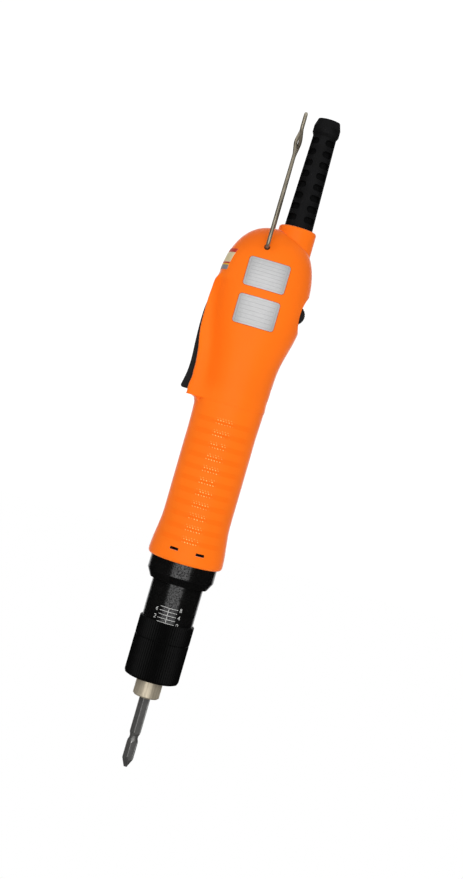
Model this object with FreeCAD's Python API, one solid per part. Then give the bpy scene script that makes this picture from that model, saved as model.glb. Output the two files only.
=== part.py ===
import FreeCAD, Part
import functools
import math
import os

# Hand-held electric torque screwdriver: bit down, cord boot up, lever at the left, all lengths in mm.
# The origin lies on the spindle axis, half way up the nose flange's clamping land.

# Fits
SLIP_FIT = 0.03
SNUG_FIT = 0.02
THREAD_FIT = 0.05
AXIAL_PLAY = 0.1
LOOSE_GAP = 0.4

# Nose flange and scale barrel
LAND_RADIUS = 16.3
LAND_LENGTH = 7.0
FLANGE_CONE_HEIGHT = 3.8
FLANGE_FOOT_RADIUS = 14.2
BARREL_RADIUS = 12.5
SCALE_LENGTH = 19.9
BARREL_THREAD_RADIUS = 11.2
BARREL_THREAD_LENGTH = 16.0
BARREL_BORE_RADIUS = 9.4
BARREL_COLLAR_HEIGHT = 2.5
BARREL_CHAMBER_RADIUS = 11.4
BARREL_CHAMBER_GAP = 1.0
BEARING_RADIUS = 8.0
BEARING_WIDTH = 5.0
BEARING_TOP_DROP = 8.0
BEARING_LIP = 1.5
BEARING_LIP_WIDTH = 1.4

# Housing
RIM_LIP_HEIGHT = 2.0
FLARE_OUT = 1.85
RIM_ROUND = 1.8
RIM_ROUND_SHARE = 0.88
FLARE_HEIGHT = 20.4
GRIP_RADIUS = 16.4
SEAM_STEP = 0.05
GRIP_TOP = 70.0
HEAD_HALF_WIDTH = 22.3
HEAD_HALF_DEPTH = 19.6
HEAD_MIDDLE = 136.0
DOME_HEIGHT = 31.7
HOUSING_WALL = 2.0
HEAD_SQUARENESS = 2.25
DOME_SQUARENESS = 2.35
DOME_CROWN_ANGLE = math.radians(84)
DOME_STEPS = 19
SHOULDER_SHARES = (
    (0.0, 0.0), (0.16, 0.06), (0.34, 0.117), (0.47, 0.19), (0.555, 0.33),
    (0.64, 0.556), (0.73, 0.8), (0.8, 0.924), (0.88, 0.983), (1.0, 1.0),
)
HALF_POINTS = 44

# Cheeks beside the lever
CHEEK_FOOT = 81.0
CHEEK_REACH = 23.9
CHEEK_EDGE_HALF = 9.0
CHEEK_ROOT_HALF = 11.2
CHEEK_SIDE_SLOPE = math.radians(12)
CHEEK_BLEND = 2.6
CHEEK_CORNER = 1.4
CHEEK_LEDGE_START = 137.6
CHEEK_LEDGE_HEIGHT = 2.6
CHEEK_LEDGE_DROP = 4.8
CHEEK_ROOT_ROUND = 3.4
CHEEK_SHARES = (
    (0.0, 0.66), (0.03, 0.675), (0.155, 0.6), (0.276, 0.613), (0.404, 0.707),
    (0.565, 0.907), (0.709, 0.96), (0.836, 0.965), (1.0, 0.88),
)

# Grip ribs and vents
RIB_COUNT = 11
RIB_FIRST = 14.6
RIB_PITCH = 5.77
RIB_HEIGHT = 5.2
RIB_FOOT_DEPTH = 0.7
RIB_PROUD = 0.14
RIB_RUNOUT = 0.6
VENT_OFFSET = 6.25
VENT_Z = 9.7
VENT_WIDTH = 4.0
VENT_HEIGHT = 1.4

# Start lever
SLOT_HALF = 4.6
SLOT_FLOOR = 17.2
SLOT_TOP = 139.0
LEVER_SIDE_GAP = 0.3
LEVER_PRESS_ANGLE = 4.0
LEVER_TIP = 83.2
LEVER_TIP_REACH = 25.5
LEVER_TIP_THICKNESS = 4.1
LEVER_TIP_ROUND = 1.2
LEVER_THICKNESS = 4.6
LEVER_PIVOT_X = 19.4
LEVER_PIVOT_Z = 134.6
LEVER_TOP_RADIUS = 3.6
LEVER_SHARES = (
    (0.0, 0.99), (0.062, 0.965), (0.14, 0.938), (0.23, 0.925), (0.36, 0.934),
    (0.5, 0.95), (0.62, 0.957), (0.75, 0.952), (0.87, 0.925), (1.0, 0.89),
)
PIN_RADIUS = 1.25
PIN_HALF_LENGTH = 7.5
PIN_BOSS_WALL = 1.5

# Start switch and its plunger
START_SWITCH_DEPTH = 6.5
START_SWITCH_HALF = 3.2
START_SWITCH_HEIGHT = 13.0
START_SWITCH_BACK = 9.5
START_SWITCH_Z = 107.0
PLUNGER_RADIUS = 1.2
PLUNGER_BURIED = 4.6
PLUNGER_Z = 113.5
SEAT_RIB_THICKNESS = 3.0

# Lever spring
LEVER_SPRING_RADIUS = 1.7
LEVER_SPRING_WIRE = 0.5
LEVER_SPRING_TURNS = 4
LEVER_SPRING_Z = 125.0
SPRING_POST_RADIUS = 2.6
SPRING_POST_LENGTH = 6.0
SPRING_SEAT_X = 14.6

# Reverse knob and switch
KNOB_Z = 130.9
KNOB_LENGTH = 8.2
KNOB_PROUD = 2.5
KNOB_FACE_X = 20.15
KNOB_SINK = 0.25
KNOB_HALF_WIDTH = 3.4
KNOB_STEM_HALF = 1.5
KNOB_TRAVEL = 2.2
KNOB_GROOVES = 7
KNOB_GROOVE_TURN = math.radians(14)
KNOB_GROOVE_RADIUS = 0.22
SCOOP_RADIUS = 24.0
SCOOP_PAD_HALF = 11.0
REVERSE_SWITCH_BACK = 10.5
REVERSE_SWITCH_FRONT = 16.6
REVERSE_SWITCH_HALF = 3.6
REVERSE_SWITCH_HEIGHT = 13.0

# Board, cord and leads
BOARD_LEFT = -7.0
BOARD_RIGHT = 9.6
BOARD_BOTTOM = 111.0
BOARD_TOP = 152.0
BOARD_FACE_Y = 3.2
BOARD_THICKNESS = 1.6
BOARD_SCREW_X = 0.0
BOARD_SCREW_INSET = 4.0
BOARD_SCREW_RADIUS = 1.0
BOARD_SCREW_HEAD = 2.0
BOARD_SCREW_HEAD_HEIGHT = 1.2
BOARD_BOSS_RADIUS = 2.6
BOARD_PLUG_HEIGHT = 6.0
BOARD_PLUG_HALF = 3.4
CORD_RADIUS = 2.3
LEAD_RADIUS = 0.75
LEAD_OFFSET = 3.5
LEAD_OVERLAP = 5.0
LEAD_SINK = 1.0

# Boot collar, boot and power socket
BOOT_X = 8.1
COLLAR_RADIUS = 9.1
COLLAR_TOP = 170.6
COLLAR_ROUND = 1.3
COLLAR_ROOF = 3.0
COLLAR_DEPTH = 24.0
COLLAR_WALL = 1.1
BOOT_RADIUS = 6.8
BOOT_FLANGE_HEIGHT = 2.5
BOOT_NECK_RADIUS = 5.65
BOOT_NECK_Z = 215.4
BOOT_BULB_RADIUS = 6.4
BOOT_BULB_START = 216.9
BOOT_BULB_END = 220.2
BOOT_TOP_RADIUS = 5.3
BOOT_TOP = 223.7
BOOT_SLOT_LEVELS = 8
BOOT_SLOT_FIRST = 175.1
BOOT_SLOT_PITCH = 5.35
BOOT_SLOT_HEIGHT = 3.0
BOOT_SLOT_ROUND = 1.3
BOOT_SLOT_DEPTH = 1.1
BOOT_SLOT_ANGLE = math.radians(58)
BOOT_RIB_ANGLE = -96.0
SOCKET_BORE_RADIUS = 4.0
SOCKET_WALL = 0.6
SOCKET_BORE_LENGTH = 7.0
SOCKET_INSULATOR_HEIGHT = 2.2
SOCKET_STEP = 0.5
SOCKET_CONTACTS = 4
CONTACT_RADIUS = 0.5
CONTACT_CIRCLE = 1.7
CONTACT_SINK = 0.4

# Hanging hook
HOOK_X = -3.55
HOOK_Z = 156.6
HOOK_WIRE_RADIUS = 0.9
HOOK_HOLE_RADIUS = 1.2
HOOK_FACE_GAP = 0.7
HOOK_BURIED = 5.0
HOOK_STRAIGHT = 20.0
HOOK_CROSS_Z = 210.3
HOOK_CROSS_OFFSET = 1.15
HOOK_TWIST_LENGTH = 6.5
HOOK_EYE_HALF = 4.6
HOOK_EYE_LOW = 216.4
HOOK_TOP = 224.8
HOOK_CORNER_BEND = 2.2
HOOK_SHOULDER_BEND = 14.0
HOOK_EYE_BEND = 3.4

# Screws of the housing
LOWER_POST_X = 11.3
LOWER_POST_Z = 97.0
UPPER_POST_X = 14.4
UPPER_POST_Z = 147.5
POST_WALL = 1.4
SCREW_RADIUS = 1.25
SCREW_HEAD_RADIUS = 2.6
SCREW_HEAD_HEIGHT = 1.8
SCREW_GRIP = 9.0
POST_SEAT_DEPTH = 9.0
DRIVE_RADIUS = 1.0
DRIVE_DEPTH = 1.0

# Labels
LABEL_SKIN = 0.15
LABEL_ROUND = 1.4
FACE_LABEL_WIDTH = 19.7
FACE_LABEL_HEIGHT = 13.7
UPPER_LABEL_Z = 143.9
LOWER_LABEL_Z = 126.0
SIDE_LABEL_HALF = 11.4
SIDE_LABEL_BOTTOM = 142.0
SIDE_LABEL_HEIGHT = 10.6

# Torque nut, seat and spring
NUT_RADIUS = 13.4
NUT_TOP = -26.1
NUT_LENGTH = 29.1
NUT_FLOOR = 3.0
NUT_BORE_RADIUS = 7.0
NUT_SKIRT_DEPTH = 8.6
NUT_GROOVE_DROP = 9.4
NUT_GROOVE_DEPTH = 0.4
NUT_GROOVE_HALF = 0.4
NUT_FOOT_ROUND = 1.5
NUT_TOP_BEVEL = 0.4
KNURL_COUNT = 72
KNURL_DEPTH = 0.35
SEAT_THICKNESS = 1.5
SEAT_RADIUS = 9.2
TORQUE_WIRE_RADIUS = 0.75
TORQUE_SPRING_RADIUS = 8.2
TORQUE_SPRING_TURNS = 6
THRUST_WASHER_THICKNESS = 1.5
THRUST_BORE_RADIUS = 5.2

# Clutch
CLUTCH_RADIUS = 8.6
DRIVER_THICKNESS = 4.0
PLATE_THICKNESS = 4.0
CLUTCH_GAP = 1.0
CLUTCH_BALL_RADIUS = 1.6
CLUTCH_BALL_CIRCLE = 6.2
CLUTCH_BALLS = 3
OUTPUT_SHAFT_RADIUS = 4.0
PILOT_RADIUS = 2.3

# Chuck and bit
BIT_ACROSS = 5.0
BIT_TURN = -8.0
BIT_LENGTH = 58.6
BIT_TIP = -99.5
BIT_GROOVE_PLACE = 15.0
BIT_GROOVE_LENGTH = 1.2
BIT_GROOVE_RAMP = 2.1
BIT_NECK_RADIUS = 2.1
BIT_TAPER = 4.5
BIT_TIP_RADIUS = 0.9
BIT_FLUTE_RADIUS = 0.7
BIT_FLUTE_DEEP = 0.9
BIT_FLUTE_LENGTH = 6.5
BIT_END_PLAY = 0.3
SPINDLE_RADIUS = 4.6
SPINDLE_NECK_RADIUS = 4.0
SPINDLE_END = -63.5
SPINDLE_COLLAR_RADIUS = 5.5
SPINDLE_COLLAR_HEIGHT = 2.0
SLEEVE_RADIUS = 6.5
SLEEVE_END = -64.2
SLEEVE_LENGTH = 16.7
SLEEVE_TRAVEL = 3.0
SLEEVE_MOUTH_RADIUS = 5.4
SLEEVE_MOUTH_DEPTH = 2.4
SLEEVE_RELIEF_RADIUS = 5.6
SLEEVE_RELIEF_HALF = 1.8
SLEEVE_LAND_HALF = 1.2
SLEEVE_SPRING_BORE = 5.75
SLEEVE_LAND_RISE = 2.4
SLEEVE_BEVEL = 0.7
STOP_RING_RADIUS = 5.3
STOP_RING_THICKNESS = 0.8
STOP_GROOVE_RADIUS = 4.2
CHUCK_BALL_RADIUS = 1.22
SLEEVE_WIRE_RADIUS = 0.35
SLEEVE_SPRING_TURNS = 3
COIL_STEPS = 2

# Gear train
SUN_TEETH = 15
PLANET_TEETH = 15
RING_TEETH = SUN_TEETH + 2 * PLANET_TEETH
PLANETS = 3
PRESSURE_ANGLE = math.radians(25)
ADDENDUM_SHARE = 0.8
DEDENDUM_SHARE = 1.05
RING_WALL = 2.2
RING_LENGTH = 22.0
BACKLASH = 0.06
PLANET_WIDTH = 6.5
PLANET_PIN_RADIUS = 1.5
CARRIER_EDGE_GAP = 0.6
OUTPUT_PLATE_DROP = 2.0
OUTPUT_PLATE_THICKNESS = 3.0
SHAFT_SHOULDER_RADIUS = 5.2
STAGE_GAP = 0.4
FIRST_PLATE_THICKNESS = 1.8

# Motor
MOTOR_CLEARANCE = 0.3
FRONT_PLATE_THICKNESS = 2.0
CAN_END_GAP = 1.0
CAN_WALL = 1.2
END_BELL_THICKNESS = 5.0
MAGNET_THICKNESS = 2.3
MAGNET_LENGTH = 34.0
MAGNET_START = 6.0
MAGNET_ANGLE = 140.0
AIR_GAP = 0.4
CORE_LENGTH = 30.0
CORE_SLOTS = 5
CORE_SLOT_HALF = 1.3
CORE_SLOT_DEPTH = 5.0
ROTOR_SHAFT_RADIUS = 1.5
ROTOR_TAIL = 1.5
COMMUTATOR_RADIUS = 4.0
COMMUTATOR_LENGTH = 6.0
COMMUTATOR_GAP = 3.0
BRUSH_HALF = 1.5
BRUSH_LENGTH = 4.5
BRUSH_GAP = 0.05
HOLDER_WALL = 1.0

# Places that follow from the sizes above
SCREW_POSTS = [
    (side * x, z)
    for side in (-1, 1)
    for x, z in ((LOWER_POST_X, LOWER_POST_Z), (UPPER_POST_X, UPPER_POST_Z))
]
Z_AXIS = FreeCAD.Vector(0, 0, 1)
Y_AXIS = FreeCAD.Vector(0, 1, 0)
X_AXIS = FreeCAD.Vector(1, 0, 0)
RIM = LAND_LENGTH / 2
FLARE_RADIUS = GRIP_RADIUS + FLARE_OUT
LIP_TOP = RIM + RIM_LIP_HEIGHT
FLARE_Z = RIM + RIM_ROUND_SHARE * RIM_ROUND
GRIP_START = FLARE_Z + FLARE_HEIGHT
CORE_RADIUS = GRIP_RADIUS - HOUSING_WALL - MOTOR_CLEARANCE
GEAR_BOTTOM = LIP_TOP + BARREL_COLLAR_HEIGHT
GEAR_TOP = GEAR_BOTTOM + RING_LENGTH
MOTOR_BOTTOM = GEAR_TOP + FRONT_PLATE_THICKNESS
COMMUTATOR_BOTTOM = MOTOR_BOTTOM + MAGNET_START + (MAGNET_LENGTH + CORE_LENGTH) / 2 + COMMUTATOR_GAP
CAN_TOP = COMMUTATOR_BOTTOM + COMMUTATOR_LENGTH + CAN_END_GAP
BELL_TOP = CAN_TOP + END_BELL_THICKNESS
BARREL_STEP = -RIM - FLANGE_CONE_HEIGHT - SCALE_LENGTH
BARREL_END = BARREL_STEP - BARREL_THREAD_LENGTH
BEARING_TOP = RIM - BEARING_TOP_DROP
BEARING_BOTTOM = BEARING_TOP - BEARING_WIDTH
WEB_BOTTOM = BEARING_BOTTOM - BEARING_LIP
DRIVER_TOP = WEB_BOTTOM - LOOSE_GAP
DRIVER_BOTTOM = DRIVER_TOP - DRIVER_THICKNESS
PLATE_TOP = DRIVER_BOTTOM - CLUTCH_GAP
PLATE_BOTTOM = PLATE_TOP - PLATE_THICKNESS
WASHER_TOP = PLATE_BOTTOM - AXIAL_PLAY
WASHER_BOTTOM = WASHER_TOP - THRUST_WASHER_THICKNESS
NUT_BOTTOM = NUT_TOP - NUT_LENGTH
NUT_FLOOR_TOP = NUT_BOTTOM + NUT_FLOOR
SEAT_TOP = NUT_FLOOR_TOP + SEAT_THICKNESS
BIT_TOP = BIT_TIP + BIT_LENGTH
BALL_Z = BIT_TOP - BIT_GROOVE_PLACE
SLEEVE_TOP = SLEEVE_END + SLEEVE_LENGTH
SLEEVE_SHOULDER = SLEEVE_END + SLEEVE_MOUTH_DEPTH
SLEEVE_SPRING_SEAT = BALL_Z + SLEEVE_LAND_RISE
SPINDLE_COLLAR = SLEEVE_TOP + SPINDLE_COLLAR_HEIGHT / 2
MODULE = (CORE_RADIUS - RING_WALL) / (RING_TEETH / 2 + DEDENDUM_SHARE)
CENTRE_DISTANCE = MODULE * (SUN_TEETH + PLANET_TEETH) / 2
CARRIER_RADIUS = MODULE * (RING_TEETH / 2 - ADDENDUM_SHARE) - CARRIER_EDGE_GAP
OUTPUT_PLATE_BOTTOM = GEAR_BOTTOM - OUTPUT_PLATE_DROP
OUTPUT_PLATE_TOP = OUTPUT_PLATE_BOTTOM + OUTPUT_PLATE_THICKNESS
SECOND_PLANET_BOTTOM = OUTPUT_PLATE_TOP + STAGE_GAP
SECOND_PLANET_TOP = SECOND_PLANET_BOTTOM + PLANET_WIDTH
FIRST_PLATE_BOTTOM = SECOND_PLANET_TOP + STAGE_GAP
FIRST_PLATE_TOP = FIRST_PLATE_BOTTOM + FIRST_PLATE_THICKNESS
FIRST_PLANET_BOTTOM = FIRST_PLATE_TOP + STAGE_GAP
FIRST_PLANET_TOP = FIRST_PLANET_BOTTOM + PLANET_WIDTH
COLLAR_CAVITY_RADIUS = COLLAR_RADIUS - COLLAR_WALL
COLLAR_ROOF_BOTTOM = COLLAR_TOP - COLLAR_ROOF
SOCKET_RADIUS = SOCKET_BORE_RADIUS + SOCKET_WALL
SOCKET_FLOOR = BOOT_TOP - SOCKET_BORE_LENGTH
INSULATOR_BOTTOM = SOCKET_FLOOR - SOCKET_INSULATOR_HEIGHT


def vec(x, y, z):
    """A point."""
    return FreeCAD.Vector(x, y, z)


def post(radius, bottom, top, x=0, y=0):
    """An upright cylinder."""
    return Part.makeCylinder(radius, top - bottom, vec(x, y, bottom), Z_AXIS)


def ring(outer, inner, bottom, top):
    """An upright ring about the spindle axis."""
    return post(outer, bottom, top).cut(post(inner, bottom, top))


def box(x0, x1, y0, y1, z0, z1):
    """A block between two corners."""
    return Part.makeBox(x1 - x0, y1 - y0, z1 - z0, vec(x0, y0, z0))


def bar_y(radius, x, z, y0, y1):
    """A cylinder lying along Y."""
    return Part.makeCylinder(radius, y1 - y0, vec(x, y0, z), Y_AXIS)


def bar_x(radius, y, z, x0, x1):
    """A cylinder lying along X."""
    return Part.makeCylinder(radius, x1 - x0, vec(x0, y, z), X_AXIS)


def turned(profile, x=0):
    """A solid turned about an upright axis from (radius, height) corners."""
    points = [vec(r, 0, z) for r, z in profile]
    face = Part.Face(Part.makePolygon(points + points[:1]))
    solid = face.revolve(vec(0, 0, 0), Z_AXIS, 360)
    solid.translate(vec(x, 0, 0))
    return solid


def joined(shapes):
    """One solid from several that meet."""
    first, *rest = shapes
    return first.fuse(rest).removeSplitter() if rest else first


def copies(shape, count, axis_x=0):
    """A shape repeated evenly about an upright axis."""
    out = []
    for k in range(count):
        one = shape.copy()
        one.rotate(vec(axis_x, 0, 0), Z_AXIS, 360 * k / count)
        out.append(one)
    return out


def along(shares, s):
    """Smooth value at s in a table of (place, value) shares."""
    s = min(max(s, shares[0][0]), shares[-1][0])
    k = max(i for i in range(len(shares) - 1) if shares[i][0] <= s)
    slopes = []
    for i in (k, k + 1):
        before = shares[max(i - 1, 0)]
        after = shares[min(i + 1, len(shares) - 1)]
        slopes.append((after[1] - before[1]) / (after[0] - before[0]))
    width = shares[k + 1][0] - shares[k][0]
    t = (s - shares[k][0]) / width
    return (
        shares[k][1] * (1 + 2 * t) * (1 - t) ** 2
        + shares[k + 1][1] * t * t * (3 - 2 * t)
        + slopes[0] * width * t * (1 - t) ** 2
        - slopes[1] * width * t * t * (1 - t)
    )


def eased(s):
    """Smooth step from 0 to 1."""
    s = min(max(s, 0), 1)
    return s * s * (3 - 2 * s)


def soft_max(a, b, blend):
    """The larger of two lengths with a rounded change-over."""
    near = max(blend - abs(a - b), 0) / blend
    return max(a, b) + near * near * blend / 4


def body_size(z):
    """Half width, half depth and squareness of the bare housing at a height."""
    if z < FLARE_Z:
        lean = math.acos(min(max((FLARE_Z - z) / RIM_ROUND, 0), 1))
        radius = FLARE_RADIUS - RIM_ROUND + RIM_ROUND * math.sin(lean)
        return radius, radius, 2
    if z < GRIP_TOP:
        radius = FLARE_RADIUS - (FLARE_RADIUS - GRIP_RADIUS) * eased((z - FLARE_Z) / FLARE_HEIGHT)
        return radius, radius, 2
    grow = along(SHOULDER_SHARES, (z - GRIP_TOP) / (HEAD_MIDDLE - GRIP_TOP))
    width = GRIP_RADIUS + grow * (HEAD_HALF_WIDTH - GRIP_RADIUS)
    depth = GRIP_RADIUS + grow * (HEAD_HALF_DEPTH - GRIP_RADIUS)
    dome = dome_share(z)
    return width * dome, depth * dome, 2 + grow * (HEAD_SQUARENESS - 2)


def dome_share(z):
    """How much of the head's section is left at a height in the dome."""
    rise = min(max((z - HEAD_MIDDLE) / DOME_HEIGHT, 0), 1)
    return (1 - rise ** DOME_SQUARENESS) ** (1 / DOME_SQUARENESS)


def cheek_radius(z, c, s):
    """Distance from the axis to the cheeks' outside, towards the left at slope s to c."""
    share = along(CHEEK_SHARES, (z - CHEEK_FOOT) / (HEAD_MIDDLE - CHEEK_FOOT))
    reach = GRIP_RADIUS + share * (CHEEK_REACH - GRIP_RADIUS)
    slope = math.tan(CHEEK_SIDE_SLOPE)
    side = (CHEEK_EDGE_HALF + slope * reach) / (s + slope * c)
    root = CHEEK_ROOT_HALF / max(s, CHEEK_ROOT_HALF / (2 * CHEEK_REACH))
    wedge = soft_min(soft_min(side, root), reach / c)
    return wedge * dome_share(z) - CHEEK_LEDGE_DROP * eased((z - CHEEK_LEDGE_START) / CHEEK_LEDGE_HEIGHT)


def soft_min(a, b):
    """The smaller of two cheek distances, with the cheeks' rounding."""
    return -soft_max(-a, -b, CHEEK_CORNER)


def outline(z, grow, cheeks):
    """Half of a housing section, as an edge from right to left round the front."""
    width, depth, square = body_size(z)
    width += grow
    depth += grow
    points = []
    for k in range(HALF_POINTS + 1):
        turn = math.pi * k / HALF_POINTS
        c, s = abs(math.cos(turn)), abs(math.sin(turn))
        radius = ((c / width) ** square + (s / depth) ** square) ** (-1 / square)
        if cheeks and 2 * k > HALF_POINTS:
            radius = soft_max(radius, cheek_radius(z, c, s) + grow, CHEEK_BLEND)
        points.append(vec(radius * math.cos(turn), -radius * abs(math.sin(turn)), z))
    points[0].y = 0
    points[-1].y = 0
    curve = Part.BSplineCurve()
    curve.interpolate(Points=points, Parameters=[k / HALF_POINTS for k in range(HALF_POINTS + 1)])
    return curve.toShape(), points[0], points[-1]


@functools.lru_cache(maxsize=None)
def half_body(levels, grow, cheeks):
    """The front half of the housing's outside, as a solid between the first and last level."""
    wires = []
    for z in levels:
        edge, right, left = outline(z, grow, cheeks)
        wires.append(Part.Wire([edge, Part.makeLine(left, right)]))
    return Part.makeLoft(wires, True, False)


def steps(first, last, count):
    """Evenly spaced levels, both ends counted."""
    return [first + (last - first) * k / count for k in range(count + 1)]


GRIP_LEVELS = (
    *steps(RIM, FLARE_Z, 3),
    *steps(FLARE_Z, GRIP_START, 7)[1:],
    *steps(GRIP_START, GRIP_TOP, 5)[1:],
    *steps(GRIP_TOP, CHEEK_FOOT, 3)[1:],
)
DOME_LEVELS = tuple(
    HEAD_MIDDLE + DOME_HEIGHT * math.sin(DOME_CROWN_ANGLE * k / DOME_STEPS) for k in range(1, DOME_STEPS + 1)
)
HEAD_LEVELS = (*steps(CHEEK_FOOT, HEAD_MIDDLE, 16), *DOME_LEVELS)
INSIDE_LEVELS = (
    *steps(LIP_TOP, GRIP_START, 6),
    *steps(GRIP_START, GRIP_TOP, 4)[1:],
    *steps(GRIP_TOP, HEAD_MIDDLE, 16)[1:],
    *DOME_LEVELS[:-4],
)


def cheek_root():
    """The hollow rounding under the cheek's foot."""
    radius = body_size(CHEEK_FOOT)[0]
    deep = radius - HOUSING_WALL / 2
    low = CHEEK_FOOT - CHEEK_ROOT_ROUND
    out = radius + CHEEK_ROOT_ROUND
    arc = Part.Arc(
        vec(out, 0, CHEEK_FOOT),
        vec(out - CHEEK_ROOT_ROUND / math.sqrt(2), 0, low + CHEEK_ROOT_ROUND / math.sqrt(2)),
        vec(radius, 0, low),
    ).toShape()
    rest = Part.makePolygon([
        vec(radius, 0, low), vec(deep, 0, low), vec(deep, 0, CHEEK_FOOT), vec(out, 0, CHEEK_FOOT),
    ])
    spun = Part.Face(Part.Wire([arc, *rest.Edges])).revolve(vec(0, 0, 0), Z_AXIS, 360)
    edge, right, left = outline(CHEEK_FOOT, 0, True)
    foot = Part.Face(Part.Wire([edge, Part.makeLine(left, right)])).extrude(vec(0, 0, -CHEEK_ROOT_ROUND))
    left_side = box(-CHEEK_REACH, -radius / 2, -radius / 2, 0, low, CHEEK_FOOT)
    return spun.common(foot).common(left_side)


def grip_ribs():
    """The low ribs on the face of the grip, running out at the sides."""
    ribs = []
    for k in range(RIB_COUNT):
        middle = RIB_FIRST + k * RIB_PITCH
        low, high = middle - RIB_HEIGHT / 2, middle + RIB_HEIGHT / 2
        radius = body_size(middle)[0] - RIB_RUNOUT
        shift = -(RIB_RUNOUT + RIB_PROUD)
        foot = radius - RIB_FOOT_DEPTH
        disc = Part.makeCone(foot, radius, RIB_HEIGHT / 2, vec(0, shift, low), Z_AXIS)
        upper = Part.makeCone(radius, foot, RIB_HEIGHT / 2, vec(0, shift, middle), Z_AXIS)
        front = box(-GRIP_RADIUS, GRIP_RADIUS, -2 * GRIP_RADIUS, -GRIP_RADIUS / 2, low, high)
        core = post(radius - 2 * RIB_PROUD - RIB_RUNOUT, low, high)
        ribs.append(disc.fuse(upper).common(front).cut(core))
    return ribs


@functools.lru_cache(maxsize=None)
def half_shell():
    """What both housing halves share, as the front one."""
    lower = half_body(GRIP_LEVELS, SEAM_STEP, False)
    upper = half_body(HEAD_LEVELS, 0, True)
    collar_start = COLLAR_TOP - COLLAR_DEPTH
    collar = post(COLLAR_RADIUS, collar_start, COLLAR_TOP, BOOT_X)
    top_edge = [e for e in collar.Edges if len(e.Vertexes) == 1 and e.CenterOfMass.z > COLLAR_ROOF_BOTTOM]
    collar = collar.makeFillet(COLLAR_ROUND, top_edge)
    front = box(-2 * CHEEK_REACH, 2 * CHEEK_REACH, -2 * CHEEK_REACH, 0, BIT_TIP, BOOT_TOP)
    shell = lower.fuse([upper, collar.common(front), cheek_root()])
    shell = shell.fuse(grip_ribs())
    shell = shell.cut(half_body(INSIDE_LEVELS, -HOUSING_WALL, False))
    pad = box(KNOB_FACE_X - HOUSING_WALL, 2 * CHEEK_REACH, -2 * CHEEK_REACH, 0,
              KNOB_Z - SCOOP_PAD_HALF, KNOB_Z + SCOOP_PAD_HALF)
    shell = shell.fuse(inner_block(pad))
    shell = shell.cut(post(COLLAR_CAVITY_RADIUS, collar_start, COLLAR_ROOF_BOTTOM, BOOT_X))
    shell = shell.cut(post(BOOT_RADIUS + SNUG_FIT, COLLAR_ROOF_BOTTOM, COLLAR_TOP, BOOT_X))
    shell = shell.cut(post(BARREL_RADIUS + LOOSE_GAP, RIM, LIP_TOP))
    slot_foot = CHEEK_FOOT - CHEEK_ROOT_ROUND
    shell = shell.cut(box(-2 * CHEEK_REACH, -SLOT_FLOOR, -SLOT_HALF, 0, slot_foot, SLOT_TOP))
    hook_depth = body_size(HOOK_Z)[1]
    shell = shell.cut(bar_y(HOOK_HOLE_RADIUS, HOOK_X, HOOK_Z, -2 * hook_depth, -hook_depth / 2))
    scoop_x = KNOB_FACE_X + SCOOP_RADIUS
    shell = shell.cut(bar_y(SCOOP_RADIUS, scoop_x, KNOB_Z, -2 * HEAD_HALF_DEPTH, 0))
    knob = KNOB_LENGTH / 2 + KNOB_TRAVEL + LOOSE_GAP
    shell = shell.cut(
        box(KNOB_FACE_X - KNOB_SINK, 2 * CHEEK_REACH, -KNOB_HALF_WIDTH - LOOSE_GAP, 0,
            KNOB_Z - knob, KNOB_Z + knob)
    )
    stem = KNOB_STEM_HALF + KNOB_TRAVEL + LOOSE_GAP
    shell = shell.cut(
        box(REVERSE_SWITCH_FRONT, 2 * CHEEK_REACH, -KNOB_STEM_HALF - SLIP_FIT, 0,
            KNOB_Z - stem, KNOB_Z + stem)
    )
    for side in (-1, 1):
        middle = side * VENT_OFFSET
        shell = shell.cut(
            box(middle - VENT_WIDTH / 2, middle + VENT_WIDTH / 2, -2 * FLARE_RADIUS, -FLARE_RADIUS / 2,
                VENT_Z - VENT_HEIGHT / 2, VENT_Z + VENT_HEIGHT / 2)
        )
    return shell


def inner_block(shape):
    """What of a shape lies inside the front half, let into half of its wall."""
    return shape.common(half_body(INSIDE_LEVELS, -HOUSING_WALL / 2, False))


def seat_ribs():
    """Ribs inside the front half that carry the switches and the pin."""
    far = -2 * HEAD_HALF_DEPTH
    switch_front = START_SWITCH_BACK + START_SWITCH_DEPTH
    start_middle = START_SWITCH_Z + START_SWITCH_HEIGHT / 2
    start = box(-switch_front, -START_SWITCH_BACK, far, -START_SWITCH_HALF,
                start_middle - SEAT_RIB_THICKNESS, start_middle + SEAT_RIB_THICKNESS)
    reverse = box(REVERSE_SWITCH_BACK, REVERSE_SWITCH_FRONT, far, -REVERSE_SWITCH_HALF,
                  KNOB_Z - SEAT_RIB_THICKNESS, KNOB_Z + SEAT_RIB_THICKNESS)
    pin = bar_y(PIN_RADIUS + PIN_BOSS_WALL, -LEVER_PIVOT_X, LEVER_PIVOT_Z, far, -SLOT_HALF)
    return [inner_block(start), inner_block(reverse), inner_block(pin)]


def front_housing():
    """The front half with its blind screw posts."""
    shell = half_shell().fuse(seat_ribs())
    for x, z in SCREW_POSTS:
        shell = shell.fuse(inner_block(bar_y(SCREW_RADIUS + POST_WALL, x, z, -2 * HEAD_HALF_DEPTH, 0)))
        shell = shell.cut(bar_y(SCREW_RADIUS + SNUG_FIT, x, z, -SCREW_GRIP - LOOSE_GAP, 0))
    return shell.cut(pin_hole())


def pin_hole():
    """The blind hole of the lever pin, both halves."""
    half = PIN_HALF_LENGTH + AXIAL_PLAY
    return bar_y(PIN_RADIUS + SNUG_FIT, -LEVER_PIVOT_X, LEVER_PIVOT_Z, -half, half)


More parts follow.
